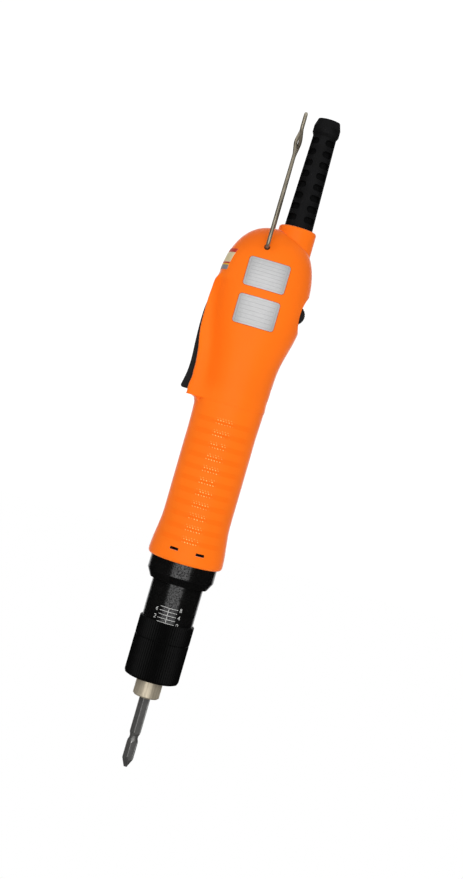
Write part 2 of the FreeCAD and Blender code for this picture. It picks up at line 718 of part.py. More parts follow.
def rear_housing():
    """The rear half with the screws' through posts and the board's posts."""
    half = half_shell().fuse(seat_ribs())
    post_radius = SCREW_HEAD_RADIUS + LOOSE_GAP + POST_WALL
    extra = [inner_block(bar_y(post_radius, x, z, -2 * HEAD_HALF_DEPTH, 0)) for x, z in SCREW_POSTS]
    board_back = -(BOARD_FACE_Y + BOARD_THICKNESS)
    for z in board_screw_levels():
        boss = bar_y(BOARD_BOSS_RADIUS, BOARD_SCREW_X, z, -2 * HEAD_HALF_DEPTH, board_back)
        extra.append(inner_block(boss))
    half = half.fuse(extra)
    shell = half.mirror(vec(0, 0, 0), Y_AXIS)
    for x, z in SCREW_POSTS:
        shell = shell.cut(bar_y(SCREW_RADIUS + SNUG_FIT, x, z, 0, POST_SEAT_DEPTH))
        shell = shell.cut(bar_y(SCREW_HEAD_RADIUS + LOOSE_GAP, x, z, POST_SEAT_DEPTH, 2 * HEAD_HALF_DEPTH))
    for z in board_screw_levels():
        hole_end = board_screw_tip() + LOOSE_GAP
        shell = shell.cut(bar_y(BOARD_SCREW_RADIUS + SNUG_FIT, BOARD_SCREW_X, z, 0, hole_end))
    return shell.cut(pin_hole())


def screw(x, z, tip_y, seat_y, radius, head_radius, head_height):
    """A screw along Y with a cross recess in its head."""
    way = 1 if seat_y > tip_y else -1
    head_end = seat_y + way * head_height
    low, high = min(tip_y, seat_y), max(tip_y, seat_y)
    head = bar_y(head_radius, x, z, min(seat_y, head_end), max(seat_y, head_end))
    body = bar_y(radius, x, z, low, high).fuse(head)
    pit = head_end - way * DRIVE_DEPTH
    near, far = min(pit, head_end), max(pit, head_end)
    arm = DRIVE_RADIUS / 3
    cross = box(x - DRIVE_RADIUS, x + DRIVE_RADIUS, near, far, z - arm, z + arm)
    return body.cut(cross.fuse(box(x - arm, x + arm, near, far, z - DRIVE_RADIUS, z + DRIVE_RADIUS)))


def housing_screws():
    """The four screws that pull the halves together."""
    return Part.makeCompound([
        screw(x, z, -SCREW_GRIP, POST_SEAT_DEPTH, SCREW_RADIUS, SCREW_HEAD_RADIUS, SCREW_HEAD_HEIGHT)
        for x, z in SCREW_POSTS
    ])


def board_screw_levels():
    """Heights of the board's screws."""
    return BOARD_BOTTOM + BOARD_SCREW_INSET, BOARD_TOP - BOARD_SCREW_INSET


def board_screw_tip():
    """How deep the board's screws reach into their posts."""
    return BOARD_FACE_Y + BOARD_THICKNESS + BOARD_SCREW_INSET


def board_screws():
    """The board's two screws."""
    return Part.makeCompound([
        screw(BOARD_SCREW_X, z, board_screw_tip(), BOARD_FACE_Y,
              BOARD_SCREW_RADIUS, BOARD_SCREW_HEAD, BOARD_SCREW_HEAD_HEIGHT)
        for z in board_screw_levels()
    ])


def rounded_plate(width, height, middle_z, deep, corner):
    """A rounded upright rectangle, run through to the front."""
    plate = box(-width / 2, width / 2, -deep, 0, middle_z - height / 2, middle_z + height / 2)
    corners = [e for e in plate.Edges if abs(e.tangentAt(e.FirstParameter).y) > 1 - 1e-6]
    return plate.makeFillet(corner, corners)


@functools.lru_cache(maxsize=None)
def label_skin():
    """A thin skin over the head's front half."""
    return half_body(HEAD_LEVELS[8:-4], LABEL_SKIN, True).cut(half_body(HEAD_LEVELS, 0, True))


def face_label(middle_z):
    """A label on the head's face."""
    plate = rounded_plate(FACE_LABEL_WIDTH, FACE_LABEL_HEIGHT, middle_z, 2 * HEAD_HALF_DEPTH, LABEL_ROUND)
    return label_skin().common(plate)


def side_label():
    """The seal across the parting line on the left shoulder."""
    top = SIDE_LABEL_BOTTOM + SIDE_LABEL_HEIGHT
    patch = box(-2 * HEAD_HALF_WIDTH, 0, -SIDE_LABEL_HALF, 0, SIDE_LABEL_BOTTOM, top)
    half = label_skin().common(patch)
    return half.fuse(half.mirror(vec(0, 0, 0), Y_AXIS)).removeSplitter()


def start_lever():
    """The lever, thumb side to the left, with its pivot eye and switch face."""
    height = LEVER_PIVOT_Z - LEVER_TIP
    outer = []
    for share, reach in LEVER_SHARES:
        outer.append(vec(-LEVER_TIP_REACH * reach, 0, LEVER_TIP + share * height))
    curve = Part.BSplineCurve()
    curve.interpolate(Points=outer)
    top = outer[-1]
    eye = vec(-LEVER_PIVOT_X, 0, LEVER_PIVOT_Z)
    inner_low = vec(-LEVER_TIP_REACH + LEVER_TIP_THICKNESS, 0, LEVER_TIP)
    inner_high = vec(-LEVER_PIVOT_X + LEVER_TOP_RADIUS / 2, 0, LEVER_PIVOT_Z)
    rest = Part.makePolygon([top, inner_high, inner_low, outer[0]])
    face = Part.Face(Part.Wire([curve.toShape(), *rest.Edges]))
    half = SLOT_HALF - LEVER_SIDE_GAP
    blade = face.extrude(vec(0, 2 * half, 0))
    blade.translate(vec(0, -half, 0))
    tip = [e for e in blade.Edges if (e.CenterOfMass - outer[0]).Length < LEVER_TIP_ROUND]
    blade = blade.makeFillet(LEVER_TIP_ROUND, tip)
    blade = blade.fuse(bar_y(LEVER_TOP_RADIUS, eye.x, eye.z, -half, half)).removeSplitter()
    blade = blade.cut(bar_y(PIN_RADIUS + SLIP_FIT, eye.x, eye.z, -half, half))
    pocket = LEVER_SPRING_RADIUS + LEVER_SPRING_WIRE + LOOSE_GAP
    return blade.cut(bar_x(pocket, 0, LEVER_SPRING_Z, lever_spring_end(), 0))


def lever_inner_x(z):
    """Where the lever's inner face lies at a height."""
    low_x = -LEVER_TIP_REACH + LEVER_TIP_THICKNESS
    high_x = -LEVER_PIVOT_X + LEVER_TOP_RADIUS / 2
    return low_x + (high_x - low_x) * (z - LEVER_TIP) / (LEVER_PIVOT_Z - LEVER_TIP)


def lever_spring_end():
    """Bottom of the spring's pocket in the lever."""
    return lever_inner_x(LEVER_SPRING_Z) - LEVER_THICKNESS / 3


def tangent_arc(start, way, end):
    """The arc that leaves a start along a way and reaches an end."""
    chord = end - start
    side = way.cross(chord).normalize().cross(way)
    centre = start + side * (chord.dot(chord) / chord.dot(side) / 2)
    out = ((start + end) / 2 - centre).normalize()
    return Part.Arc(start, centre + out * (start - centre).Length, end).toShape()


def coil(radius, wire_radius, turns, length):
    """An open coil of tangent arcs standing on the origin, free ends cut square."""
    pitch = (length - 2 * wire_radius) / turns
    print("gap between turns", round(pitch - 2 * wire_radius, 2))
    rise = pitch / (2 * math.pi)
    places = []
    ways = []
    for k in range(COIL_STEPS * turns + 1):
        turn = 2 * math.pi * k / COIL_STEPS
        places.append(vec(radius * math.cos(turn), radius * math.sin(turn), wire_radius + rise * turn))
        ways.append(vec(-radius * math.sin(turn), radius * math.cos(turn), rise).normalize())
    edges = []
    for start, end, leave, reach in zip(places, places[1:], ways, ways[1:]):
        chord = end - start
        ahead = chord.dot(leave + reach)
        bend = 2 * (1 - leave.dot(reach))
        arm = (math.sqrt(ahead ** 2 + bend * chord.dot(chord)) - ahead) / bend
        first, second = start + leave * arm, end - reach * arm
        joint = (first + second) / 2
        edges.append(tangent_arc(start, leave, joint))
        edges.append(tangent_arc(joint, (second - first).normalize(), end))
    section = Part.Wire(Part.makeCircle(wire_radius, places[0], ways[0]))
    return Part.Wire(edges).makePipeShell([section], True, False)


def lever_spring():
    """The lever's return spring, lying along X."""
    length = -SPRING_SEAT_X - lever_spring_end()
    spring = coil(LEVER_SPRING_RADIUS, LEVER_SPRING_WIRE / 2, LEVER_SPRING_TURNS, length)
    spring.rotate(vec(0, 0, 0), Y_AXIS, 90)
    spring.translate(vec(lever_spring_end(), 0, LEVER_SPRING_Z))
    return spring


def spring_post():
    """The post behind the lever spring, standing on the start switch's frame."""
    seat = bar_x(SPRING_POST_RADIUS, 0, LEVER_SPRING_Z, -SPRING_SEAT_X, -SPRING_SEAT_X + SPRING_POST_LENGTH)
    stem = box(-SPRING_SEAT_X, -SPRING_SEAT_X + SPRING_POST_LENGTH, -SPRING_POST_RADIUS, SPRING_POST_RADIUS,
               START_SWITCH_Z + START_SWITCH_HEIGHT, LEVER_SPRING_Z)
    return seat.fuse(stem).removeSplitter()


def start_switch():
    """The switch under the lever with the bore for its plunger and the spring's post."""
    front = -START_SWITCH_BACK - START_SWITCH_DEPTH
    body = box(front, -START_SWITCH_BACK, -START_SWITCH_HALF, START_SWITCH_HALF,
               START_SWITCH_Z, START_SWITCH_Z + START_SWITCH_HEIGHT)
    return joined([body, spring_post()]).cut(
        bar_x(PLUNGER_RADIUS + SLIP_FIT, 0, PLUNGER_Z, front, front + PLUNGER_BURIED)
    )


def start_plunger():
    """The plunger that the lever pushes."""
    front = -START_SWITCH_BACK - START_SWITCH_DEPTH
    reach = lever_inner_x(PLUNGER_Z) + AXIAL_PLAY
    travel = plunger_travel()
    return bar_x(PLUNGER_RADIUS, 0, PLUNGER_Z, reach, front + PLUNGER_BURIED - travel - LOOSE_GAP)


def plunger_travel():
    """How far the lever can push the plunger."""
    return math.sin(math.radians(LEVER_PRESS_ANGLE)) * (LEVER_PIVOT_Z - PLUNGER_Z)


def lever_pin():
    """The lever's pivot pin."""
    return bar_y(PIN_RADIUS, -LEVER_PIVOT_X, LEVER_PIVOT_Z, -PIN_HALF_LENGTH, PIN_HALF_LENGTH)


def reverse_knob():
    """The half-lens knob with ridges across its thumb face, and its stem."""
    half = KNOB_LENGTH / 2
    radius = (half * half + KNOB_PROUD * KNOB_PROUD) / (2 * KNOB_PROUD)
    centre = KNOB_FACE_X + KNOB_PROUD - radius
    lens = bar_y(radius, centre, KNOB_Z, -KNOB_HALF_WIDTH, KNOB_HALF_WIDTH)
    lens = lens.common(
        box(KNOB_FACE_X - KNOB_SINK + AXIAL_PLAY, 2 * KNOB_FACE_X, -KNOB_HALF_WIDTH, KNOB_HALF_WIDTH,
            KNOB_Z - half, KNOB_Z + half)
    )
    for k in range(KNOB_GROOVES):
        lean = KNOB_GROOVE_TURN * (k - (KNOB_GROOVES - 1) / 2)
        lens = lens.cut(
            bar_y(KNOB_GROOVE_RADIUS, centre + radius * math.cos(lean), KNOB_Z + radius * math.sin(lean),
                  -KNOB_HALF_WIDTH, KNOB_HALF_WIDTH)
        )
    stem = box(REVERSE_SWITCH_FRONT + AXIAL_PLAY, KNOB_FACE_X + KNOB_PROUD / 2,
               -KNOB_STEM_HALF, KNOB_STEM_HALF, KNOB_Z - KNOB_STEM_HALF, KNOB_Z + KNOB_STEM_HALF)
    return lens.fuse(stem).removeSplitter()


def reverse_switch():
    """The slide switch behind the reverse knob."""
    half = REVERSE_SWITCH_HEIGHT / 2
    return box(REVERSE_SWITCH_BACK, REVERSE_SWITCH_FRONT, -REVERSE_SWITCH_HALF, REVERSE_SWITCH_HALF,
               KNOB_Z - half, KNOB_Z + half)


def circuit_board():
    """The control board with its cord plug."""
    back = BOARD_FACE_Y + BOARD_THICKNESS
    board = box(BOARD_LEFT, BOARD_RIGHT, BOARD_FACE_Y, back, BOARD_BOTTOM, BOARD_TOP)
    for z in board_screw_levels():
        board = board.cut(bar_y(BOARD_SCREW_RADIUS + SLIP_FIT, BOARD_SCREW_X, z, 0, back))
    return board


def board_plug():
    """The plug on the board that takes the inner cord."""
    block = box(BOOT_X - BOARD_PLUG_HALF, BOOT_X + BOARD_PLUG_HALF / 2, -BOARD_PLUG_HALF, BOARD_FACE_Y,
                BOARD_TOP - BOARD_PLUG_HEIGHT, BOARD_TOP)
    return block


def inner_cord():
    """The cord from the socket down to the board."""
    return post(CORD_RADIUS, BOARD_TOP, INSULATOR_BOTTOM, BOOT_X)


def motor_leads():
    """The two leads from the board down to the motor."""
    y = BOARD_FACE_Y - LEAD_RADIUS
    return Part.makeCompound([
        post(LEAD_RADIUS, BELL_TOP - LEAD_SINK, BOARD_BOTTOM + LEAD_OVERLAP, side * LEAD_OFFSET, y)
        for side in (-1, 1)
    ])


def cord_boot():
    """The boot: base flange, slotted taper and bulb, bored for cord and socket."""
    flange_top = COLLAR_ROOF_BOTTOM
    flange_bottom = flange_top - BOOT_FLANGE_HEIGHT
    flange = COLLAR_CAVITY_RADIUS - SNUG_FIT
    boot = turned([
        (0, flange_bottom), (flange, flange_bottom), (flange, flange_top), (BOOT_RADIUS, flange_top),
        (BOOT_RADIUS, COLLAR_TOP), (BOOT_NECK_RADIUS, BOOT_NECK_Z), (BOOT_BULB_RADIUS, BOOT_BULB_START),
        (BOOT_BULB_RADIUS, BOOT_BULB_END), (BOOT_TOP_RADIUS, BOOT_TOP), (0, BOOT_TOP),
    ], BOOT_X)
    boot = boot.cut(post(CORD_RADIUS + SNUG_FIT, flange_bottom, INSULATOR_BOTTOM, BOOT_X))
    boot = boot.cut(post(SOCKET_RADIUS + SNUG_FIT, INSULATOR_BOTTOM, BOOT_TOP, BOOT_X))
    for level in range(BOOT_SLOT_LEVELS):
        middle = BOOT_SLOT_FIRST + level * BOOT_SLOT_PITCH
        fall = (middle - COLLAR_TOP) / (BOOT_NECK_Z - COLLAR_TOP)
        radius = BOOT_RADIUS + fall * (BOOT_NECK_RADIUS - BOOT_RADIUS)
        width = 2 * radius * math.sin(BOOT_SLOT_ANGLE / 2)
        slot = rounded_plate(width, BOOT_SLOT_HEIGHT, middle, 2 * radius, BOOT_SLOT_ROUND)
        slot = slot.cut(post(radius - BOOT_SLOT_DEPTH, middle - BOOT_SLOT_HEIGHT, middle + BOOT_SLOT_HEIGHT))
        slot.rotate(vec(0, 0, 0), Z_AXIS, BOOT_RIB_ANGLE + 90 / 2)
        for one in copies(slot, 4):
            one.translate(vec(BOOT_X, 0, 0))
            boot = boot.cut(one)
    return boot


def power_socket():
    """The metal shell of the socket in the boot's end."""
    return turned([
        (SOCKET_RADIUS, INSULATOR_BOTTOM), (SOCKET_RADIUS, BOOT_TOP),
        (SOCKET_BORE_RADIUS, BOOT_TOP), (SOCKET_BORE_RADIUS, SOCKET_FLOOR),
        (SOCKET_BORE_RADIUS - SOCKET_STEP, SOCKET_FLOOR),
        (SOCKET_BORE_RADIUS - SOCKET_STEP, INSULATOR_BOTTOM),
    ], BOOT_X)


def contact_places():
    """Where the socket's contacts stand."""
    places = []
    for k in range(SOCKET_CONTACTS):
        turn = 2 * math.pi * (k + 1 / 2) / SOCKET_CONTACTS
        places.append((BOOT_X + CONTACT_CIRCLE * math.cos(turn), CONTACT_CIRCLE * math.sin(turn)))
    return places


def socket_insulator():
    """The insulator at the bottom of the socket."""
    body = post(SOCKET_BORE_RADIUS - SOCKET_STEP - SNUG_FIT, INSULATOR_BOTTOM, SOCKET_FLOOR, BOOT_X)
    for x, y in contact_places():
        body = body.cut(post(CONTACT_RADIUS + SNUG_FIT, INSULATOR_BOTTOM, SOCKET_FLOOR, x, y))
    return body


def socket_contacts():
    """The contacts, a little below the insulator's face."""
    return Part.makeCompound([
        post(CONTACT_RADIUS, INSULATOR_BOTTOM, SOCKET_FLOOR - CONTACT_SINK, x, y) for x, y in contact_places()
    ])


def bent_wire(points, bends, radius):
    """Round wire along straight runs joined by tangent arcs."""
    edges = []
    here = points[0]
    for before, corner, after, bend in zip(points, points[1:], points[2:], bends):
        back = (before - corner).normalize()
        ahead = (after - corner).normalize()
        half = back.getAngle(ahead) / 2
        cut = bend / math.tan(half)
        middle_way = (back + ahead).normalize()
        centre = corner + middle_way * (bend / math.sin(half))
        start, end = corner + back * cut, corner + ahead * cut
        edges.append(Part.makeLine(here, start))
        edges.append(Part.Arc(start, centre - middle_way * bend, end).toShape())
        here = end
    edges.append(Part.makeLine(here, points[-1]))
    path = Part.Wire(edges)
    section = Part.Wire(Part.makeCircle(radius, points[0], points[1] - points[0]))
    return path.makePipeShell([section], True, False)


def hang_hook():
    """The wire hook: an end in each half, two legs that cross, and the eye above."""
    leg = body_size(HOOK_Z)[1] + HOOK_FACE_GAP + HOOK_WIRE_RADIUS
    inside = leg - HOOK_BURIED - HOOK_WIRE_RADIUS
    bend_z = HOOK_Z + HOOK_STRAIGHT
    low, high = HOOK_X - HOOK_CROSS_OFFSET, HOOK_X + HOOK_CROSS_OFFSET
    twist_z = HOOK_CROSS_Z - HOOK_TWIST_LENGTH
    near = leg * HOOK_TWIST_LENGTH / (HOOK_CROSS_Z - bend_z)
    eye = HOOK_EYE_HALF - HOOK_WIRE_RADIUS
    top = HOOK_TOP - HOOK_WIRE_RADIUS
    points = [
        vec(HOOK_X, -inside, HOOK_Z), vec(HOOK_X, -leg, HOOK_Z), vec(HOOK_X, -leg, bend_z),
        vec(HOOK_X, -near, twist_z), vec(low, 0, HOOK_CROSS_Z), vec(HOOK_X, eye, HOOK_EYE_LOW),
        vec(HOOK_X, eye, top), vec(HOOK_X, -eye, top),
        vec(HOOK_X, -eye, HOOK_EYE_LOW), vec(high, 0, HOOK_CROSS_Z), vec(HOOK_X, near, twist_z),
        vec(HOOK_X, leg, bend_z), vec(HOOK_X, leg, HOOK_Z), vec(HOOK_X, inside, HOOK_Z),
    ]
    leg_bends = [HOOK_CORNER_BEND, HOOK_SHOULDER_BEND, HOOK_SHOULDER_BEND, HOOK_SHOULDER_BEND]
    bends = [*leg_bends, HOOK_EYE_BEND, HOOK_EYE_BEND, HOOK_EYE_BEND, HOOK_EYE_BEND, *leg_bends[::-1]]
    return bent_wire(points, bends, HOOK_WIRE_RADIUS)


def nose_flange():
    """The ring that clamps the housing's rim, screwed on the barrel."""
    inner = BARREL_RADIUS + THREAD_FIT
    return turned([
        (inner, -RIM - FLANGE_CONE_HEIGHT), (FLANGE_FOOT_RADIUS, -RIM - FLANGE_CONE_HEIGHT),
        (LAND_RADIUS, -RIM), (LAND_RADIUS, RIM), (inner, RIM),
    ])


def scale_barrel():
    """The nose tube: collar, scale wall, threaded end and bearing web."""
    lip = BEARING_RADIUS - BEARING_LIP_WIDTH
    return turned([
        (BARREL_BORE_RADIUS, BARREL_END), (BARREL_THREAD_RADIUS, BARREL_END),
        (BARREL_THREAD_RADIUS, BARREL_STEP), (BARREL_RADIUS, BARREL_STEP), (BARREL_RADIUS, LIP_TOP),
        (CORE_RADIUS, LIP_TOP), (CORE_RADIUS, GEAR_BOTTOM), (BARREL_CHAMBER_RADIUS, GEAR_BOTTOM),
        (BARREL_CHAMBER_RADIUS, BEARING_TOP), (BEARING_RADIUS, BEARING_TOP), (BEARING_RADIUS, BEARING_BOTTOM),
        (lip, BEARING_BOTTOM), (lip, WEB_BOTTOM), (BARREL_BORE_RADIUS, WEB_BOTTOM),
    ])


def knurled(radius, bottom, top):
    """A bar with straight fine ridges along it."""
    points = []
    for k in range(2 * KNURL_COUNT):
        r = radius - (KNURL_DEPTH if k % 2 else 0)
        turn = math.pi * k / KNURL_COUNT
        points.append(vec(r * math.cos(turn), r * math.sin(turn), bottom))
    return Part.Face(Part.makePolygon(points + points[:1])).extrude(vec(0, 0, top - bottom))


def torque_nut():
    """The knurled nut: skirt over the scale, thread, floor with the chuck's opening."""
    groove = NUT_TOP - NUT_GROOVE_DROP
    foot = NUT_RADIUS - NUT_FOOT_ROUND
    form = turned([
        (0, NUT_BOTTOM), (foot, NUT_BOTTOM),
        (foot + NUT_FOOT_ROUND / math.sqrt(2), NUT_BOTTOM + NUT_FOOT_ROUND * (1 - 1 / math.sqrt(2))),
        (NUT_RADIUS, NUT_BOTTOM + NUT_FOOT_ROUND),
        (NUT_RADIUS, groove - NUT_GROOVE_HALF), (NUT_RADIUS - NUT_GROOVE_DEPTH, groove),
        (NUT_RADIUS, groove + NUT_GROOVE_HALF), (NUT_RADIUS, NUT_TOP - NUT_TOP_BEVEL),
        (NUT_RADIUS - NUT_TOP_BEVEL, NUT_TOP), (0, NUT_TOP),
    ])
    hollow = turned([
        (0, NUT_BOTTOM), (NUT_BORE_RADIUS, NUT_BOTTOM), (NUT_BORE_RADIUS, NUT_FLOOR_TOP),
        (BARREL_THREAD_RADIUS + THREAD_FIT, NUT_FLOOR_TOP),
        (BARREL_THREAD_RADIUS + THREAD_FIT, NUT_TOP - NUT_SKIRT_DEPTH),
        (BARREL_RADIUS + THREAD_FIT, NUT_TOP - NUT_SKIRT_DEPTH),
        (BARREL_RADIUS + THREAD_FIT, NUT_TOP), (0, NUT_TOP),
    ])
    return knurled(NUT_RADIUS, NUT_BOTTOM, NUT_TOP).common(form).cut(hollow)


def torque_spring():
    """The spring that sets the clutch's slip."""
    spring = coil(TORQUE_SPRING_RADIUS, TORQUE_WIRE_RADIUS, TORQUE_SPRING_TURNS, WASHER_BOTTOM - SEAT_TOP)
    spring.translate(vec(0, 0, SEAT_TOP))
    return spring


def gear_outline(teeth, tip, root, extra, turn):
    """Involute tooth outline in straight facets; extra is added to half the tooth at the pitch line."""
    pitch = MODULE * teeth / 2
    base = pitch * math.cos(PRESSURE_ANGLE)
    half_pitch = math.pi / (2 * teeth) + math.tan(PRESSURE_ANGLE) - PRESSURE_ANGLE + extra / pitch

    def half_angle(r):
        lean = math.acos(min(base / r, 1))
        return half_pitch - math.tan(lean) + lean

    low = max(root, base)
    radii = [root] * (root < base) + [low + (tip - low) * k / 3 for k in range(4)]
    points = []
    for k in range(teeth):
        middle = turn + 2 * math.pi * k / teeth
        for r in radii:
            points.append((r, middle - half_angle(r)))
        for r in reversed(radii):
            points.append((r, middle + half_angle(r)))
    return [vec(r * math.cos(a), r * math.sin(a), 0) for r, a in points]


def toothed(teeth, bottom, top, turn):
    """An outside gear about the spindle axis."""
    pitch = MODULE * teeth / 2
    tip = pitch + ADDENDUM_SHARE * MODULE
    root = pitch - DEDENDUM_SHARE * MODULE
    points = gear_outline(teeth, tip, root, -BACKLASH / 2, turn)
    solid = Part.Face(Part.makePolygon(points + points[:1])).extrude(vec(0, 0, top - bottom))
    solid.translate(vec(0, 0, bottom))
    return solid


def ring_gear():
    """The gear case with its inside teeth, shared by both stages."""
    pitch = MODULE * RING_TEETH / 2
    tip, root = pitch - ADDENDUM_SHARE * MODULE, pitch + DEDENDUM_SHARE * MODULE
    turn = planet_turn() * PLANET_TEETH / RING_TEETH
    points = gear_outline(RING_TEETH, root, tip, BACKLASH / 2, turn)
    spaces = Part.Face(Part.makePolygon(points + points[:1])).extrude(vec(0, 0, RING_LENGTH))
    spaces.translate(vec(0, 0, GEAR_BOTTOM))
    return post(CORE_RADIUS, GEAR_BOTTOM, GEAR_TOP).cut(spaces)


def planet_turn():
    """Turn that brings the first planet into mesh with its sun."""
    return math.pi - math.pi / PLANET_TEETH


def planet(bottom, place):
    """One planet, at its place round the sun."""
    wheel = toothed(PLANET_TEETH, bottom, bottom + PLANET_WIDTH, planet_turn())
    wheel = wheel.cut(post(PLANET_PIN_RADIUS + SLIP_FIT, bottom, bottom + PLANET_WIDTH))
    wheel.translate(vec(CENTRE_DISTANCE, 0, 0))
    wheel.rotate(vec(0, 0, 0), Z_AXIS, 360 * place / PLANETS)
    return wheel


def carrier_pins(bottom, top):
    """The pins that carry a stage's planets."""
    return copies(post(PLANET_PIN_RADIUS, bottom, top, CENTRE_DISTANCE), PLANETS)


def first_carrier():
    """The first stage's carrier with the second sun under it."""
    plate = post(CARRIER_RADIUS, FIRST_PLATE_BOTTOM, FIRST_PLATE_TOP)
    sun = toothed(SUN_TEETH, SECOND_PLANET_BOTTOM, FIRST_PLATE_BOTTOM, 0)
    return joined([plate, sun, *carrier_pins(FIRST_PLATE_TOP, FIRST_PLANET_TOP)])


def output_carrier():
    """The second stage's carrier and the shaft through the bearing."""
    plate = post(BARREL_CHAMBER_RADIUS - BARREL_CHAMBER_GAP, OUTPUT_PLATE_BOTTOM, OUTPUT_PLATE_TOP)
    shoulder = post(SHAFT_SHOULDER_RADIUS, BEARING_TOP, OUTPUT_PLATE_BOTTOM)
    shaft = post(OUTPUT_SHAFT_RADIUS, DRIVER_BOTTOM, BEARING_TOP)
    whole = joined([plate, shoulder, shaft, *carrier_pins(OUTPUT_PLATE_TOP, SECOND_PLANET_TOP)])
    return whole.cut(post(PILOT_RADIUS + SLIP_FIT, DRIVER_BOTTOM, DRIVER_TOP + LOOSE_GAP))


def output_bearing():
    """The ball bearing in the barrel's web, as one ring."""
    return ring(BEARING_RADIUS - SNUG_FIT, OUTPUT_SHAFT_RADIUS + SLIP_FIT, BEARING_BOTTOM, BEARING_TOP)


def clutch_ball_set(radius):
    """The clutch's balls at a given radius."""
    middle = (DRIVER_BOTTOM + PLATE_TOP) / 2
    return copies(Part.makeSphere(radius, vec(CLUTCH_BALL_CIRCLE, 0, middle)), CLUTCH_BALLS)


def clutch_driver():
    """The driver disc on the output shaft, pocketed for the balls."""
    disc = ring(CLUTCH_RADIUS, OUTPUT_SHAFT_RADIUS + SNUG_FIT, DRIVER_BOTTOM, DRIVER_TOP)
    return disc.cut(Part.makeCompound(clutch_ball_set(CLUTCH_BALL_RADIUS + SNUG_FIT)))


def clutch_plate():
    """The sprung disc on the spindle, pocketed for the balls."""
    disc = ring(CLUTCH_RADIUS, SPINDLE_NECK_RADIUS + SNUG_FIT, PLATE_BOTTOM, PLATE_TOP)
    return disc.cut(Part.makeCompound(clutch_ball_set(CLUTCH_BALL_RADIUS + SNUG_FIT)))


def hexagon(across, bottom, top):
    """A hexagonal bar with one edge near the front, turned as the bit sits."""
    radius = across / 2 / math.cos(math.pi / 6)
    points = []
    for k in range(6):
        turn = math.radians(60 * k - 90 + BIT_TURN)
        points.append(vec(radius * math.cos(turn), radius * math.sin(turn), bottom))
    return Part.Face(Part.makePolygon(points + points[:1])).extrude(vec(0, 0, top - bottom))


def chuck_ball_place():
    """Distance of the chuck's balls from the axis."""
    return BIT_NECK_RADIUS + CHUCK_BALL_RADIUS + SLIP_FIT


def spindle():
    """The spindle: pilot, neck, spring collar and hex socket with ball holes."""
    bottom = BIT_TOP + BIT_END_PLAY
    body = joined([
        post(PILOT_RADIUS, PLATE_TOP, DRIVER_TOP),
        post(SPINDLE_NECK_RADIUS, SPINDLE_COLLAR, PLATE_TOP),
        post(SPINDLE_COLLAR_RADIUS, SPINDLE_COLLAR - SPINDLE_COLLAR_HEIGHT / 2,
             SPINDLE_COLLAR + SPINDLE_COLLAR_HEIGHT / 2),
        post(SPINDLE_RADIUS, SPINDLE_END, SPINDLE_COLLAR),
    ])
    body = body.cut(hexagon(BIT_ACROSS + 2 * SNUG_FIT, SPINDLE_END, bottom))
    body = body.cut(bar_x(CHUCK_BALL_RADIUS + SLIP_FIT, 0, BALL_Z, -SPINDLE_RADIUS, SPINDLE_RADIUS))
    low = SLEEVE_SHOULDER - STOP_RING_THICKNESS
    return body.cut(ring(2 * SPINDLE_RADIUS, STOP_GROOVE_RADIUS, low, SLEEVE_SHOULDER))


def chuck_balls():
    """The two balls that hold the bit by its groove."""
    place = chuck_ball_place()
    return Part.makeCompound([
        Part.makeSphere(CHUCK_BALL_RADIUS, vec(side * place, 0, BALL_Z)) for side in (-1, 1)
    ])


def chuck_sleeve():
    """The sliding sleeve that locks the balls."""
    land = SPINDLE_RADIUS + SLIP_FIT
    relief = BALL_Z - SLEEVE_TRAVEL
    edge = SLEEVE_RADIUS - SLEEVE_BEVEL
    return turned([
        (SLEEVE_MOUTH_RADIUS, SLEEVE_END), (edge, SLEEVE_END), (SLEEVE_RADIUS, SLEEVE_END + SLEEVE_BEVEL),
        (SLEEVE_RADIUS, SLEEVE_TOP - SLEEVE_BEVEL), (edge, SLEEVE_TOP), (SLEEVE_SPRING_BORE, SLEEVE_TOP),
        (SLEEVE_SPRING_BORE, SLEEVE_SPRING_SEAT), (land, SLEEVE_SPRING_SEAT),
        (land, relief + SLEEVE_RELIEF_HALF), (SLEEVE_RELIEF_RADIUS, relief + SLEEVE_LAND_HALF),
        (SLEEVE_RELIEF_RADIUS, relief - SLEEVE_LAND_HALF), (land, relief - SLEEVE_RELIEF_HALF),
        (land, SLEEVE_SHOULDER), (SLEEVE_MOUTH_RADIUS, SLEEVE_SHOULDER),
    ])


def sleeve_spring():
    """The spring that returns the sleeve."""
    top = SPINDLE_COLLAR - SPINDLE_COLLAR_HEIGHT / 2
    radius = (SPINDLE_RADIUS + SLEEVE_SPRING_BORE) / 2
    spring = coil(radius, SLEEVE_WIRE_RADIUS, SLEEVE_SPRING_TURNS, top - SLEEVE_SPRING_SEAT)
    spring.translate(vec(0, 0, SLEEVE_SPRING_SEAT))
    return spring


def sleeve_stop_ring():
    """The ring in the spindle's groove that stops the sleeve."""
    low = SLEEVE_SHOULDER - STOP_RING_THICKNESS
    return ring(STOP_RING_RADIUS, STOP_GROOVE_RADIUS + SNUG_FIT, low, SLEEVE_SHOULDER)


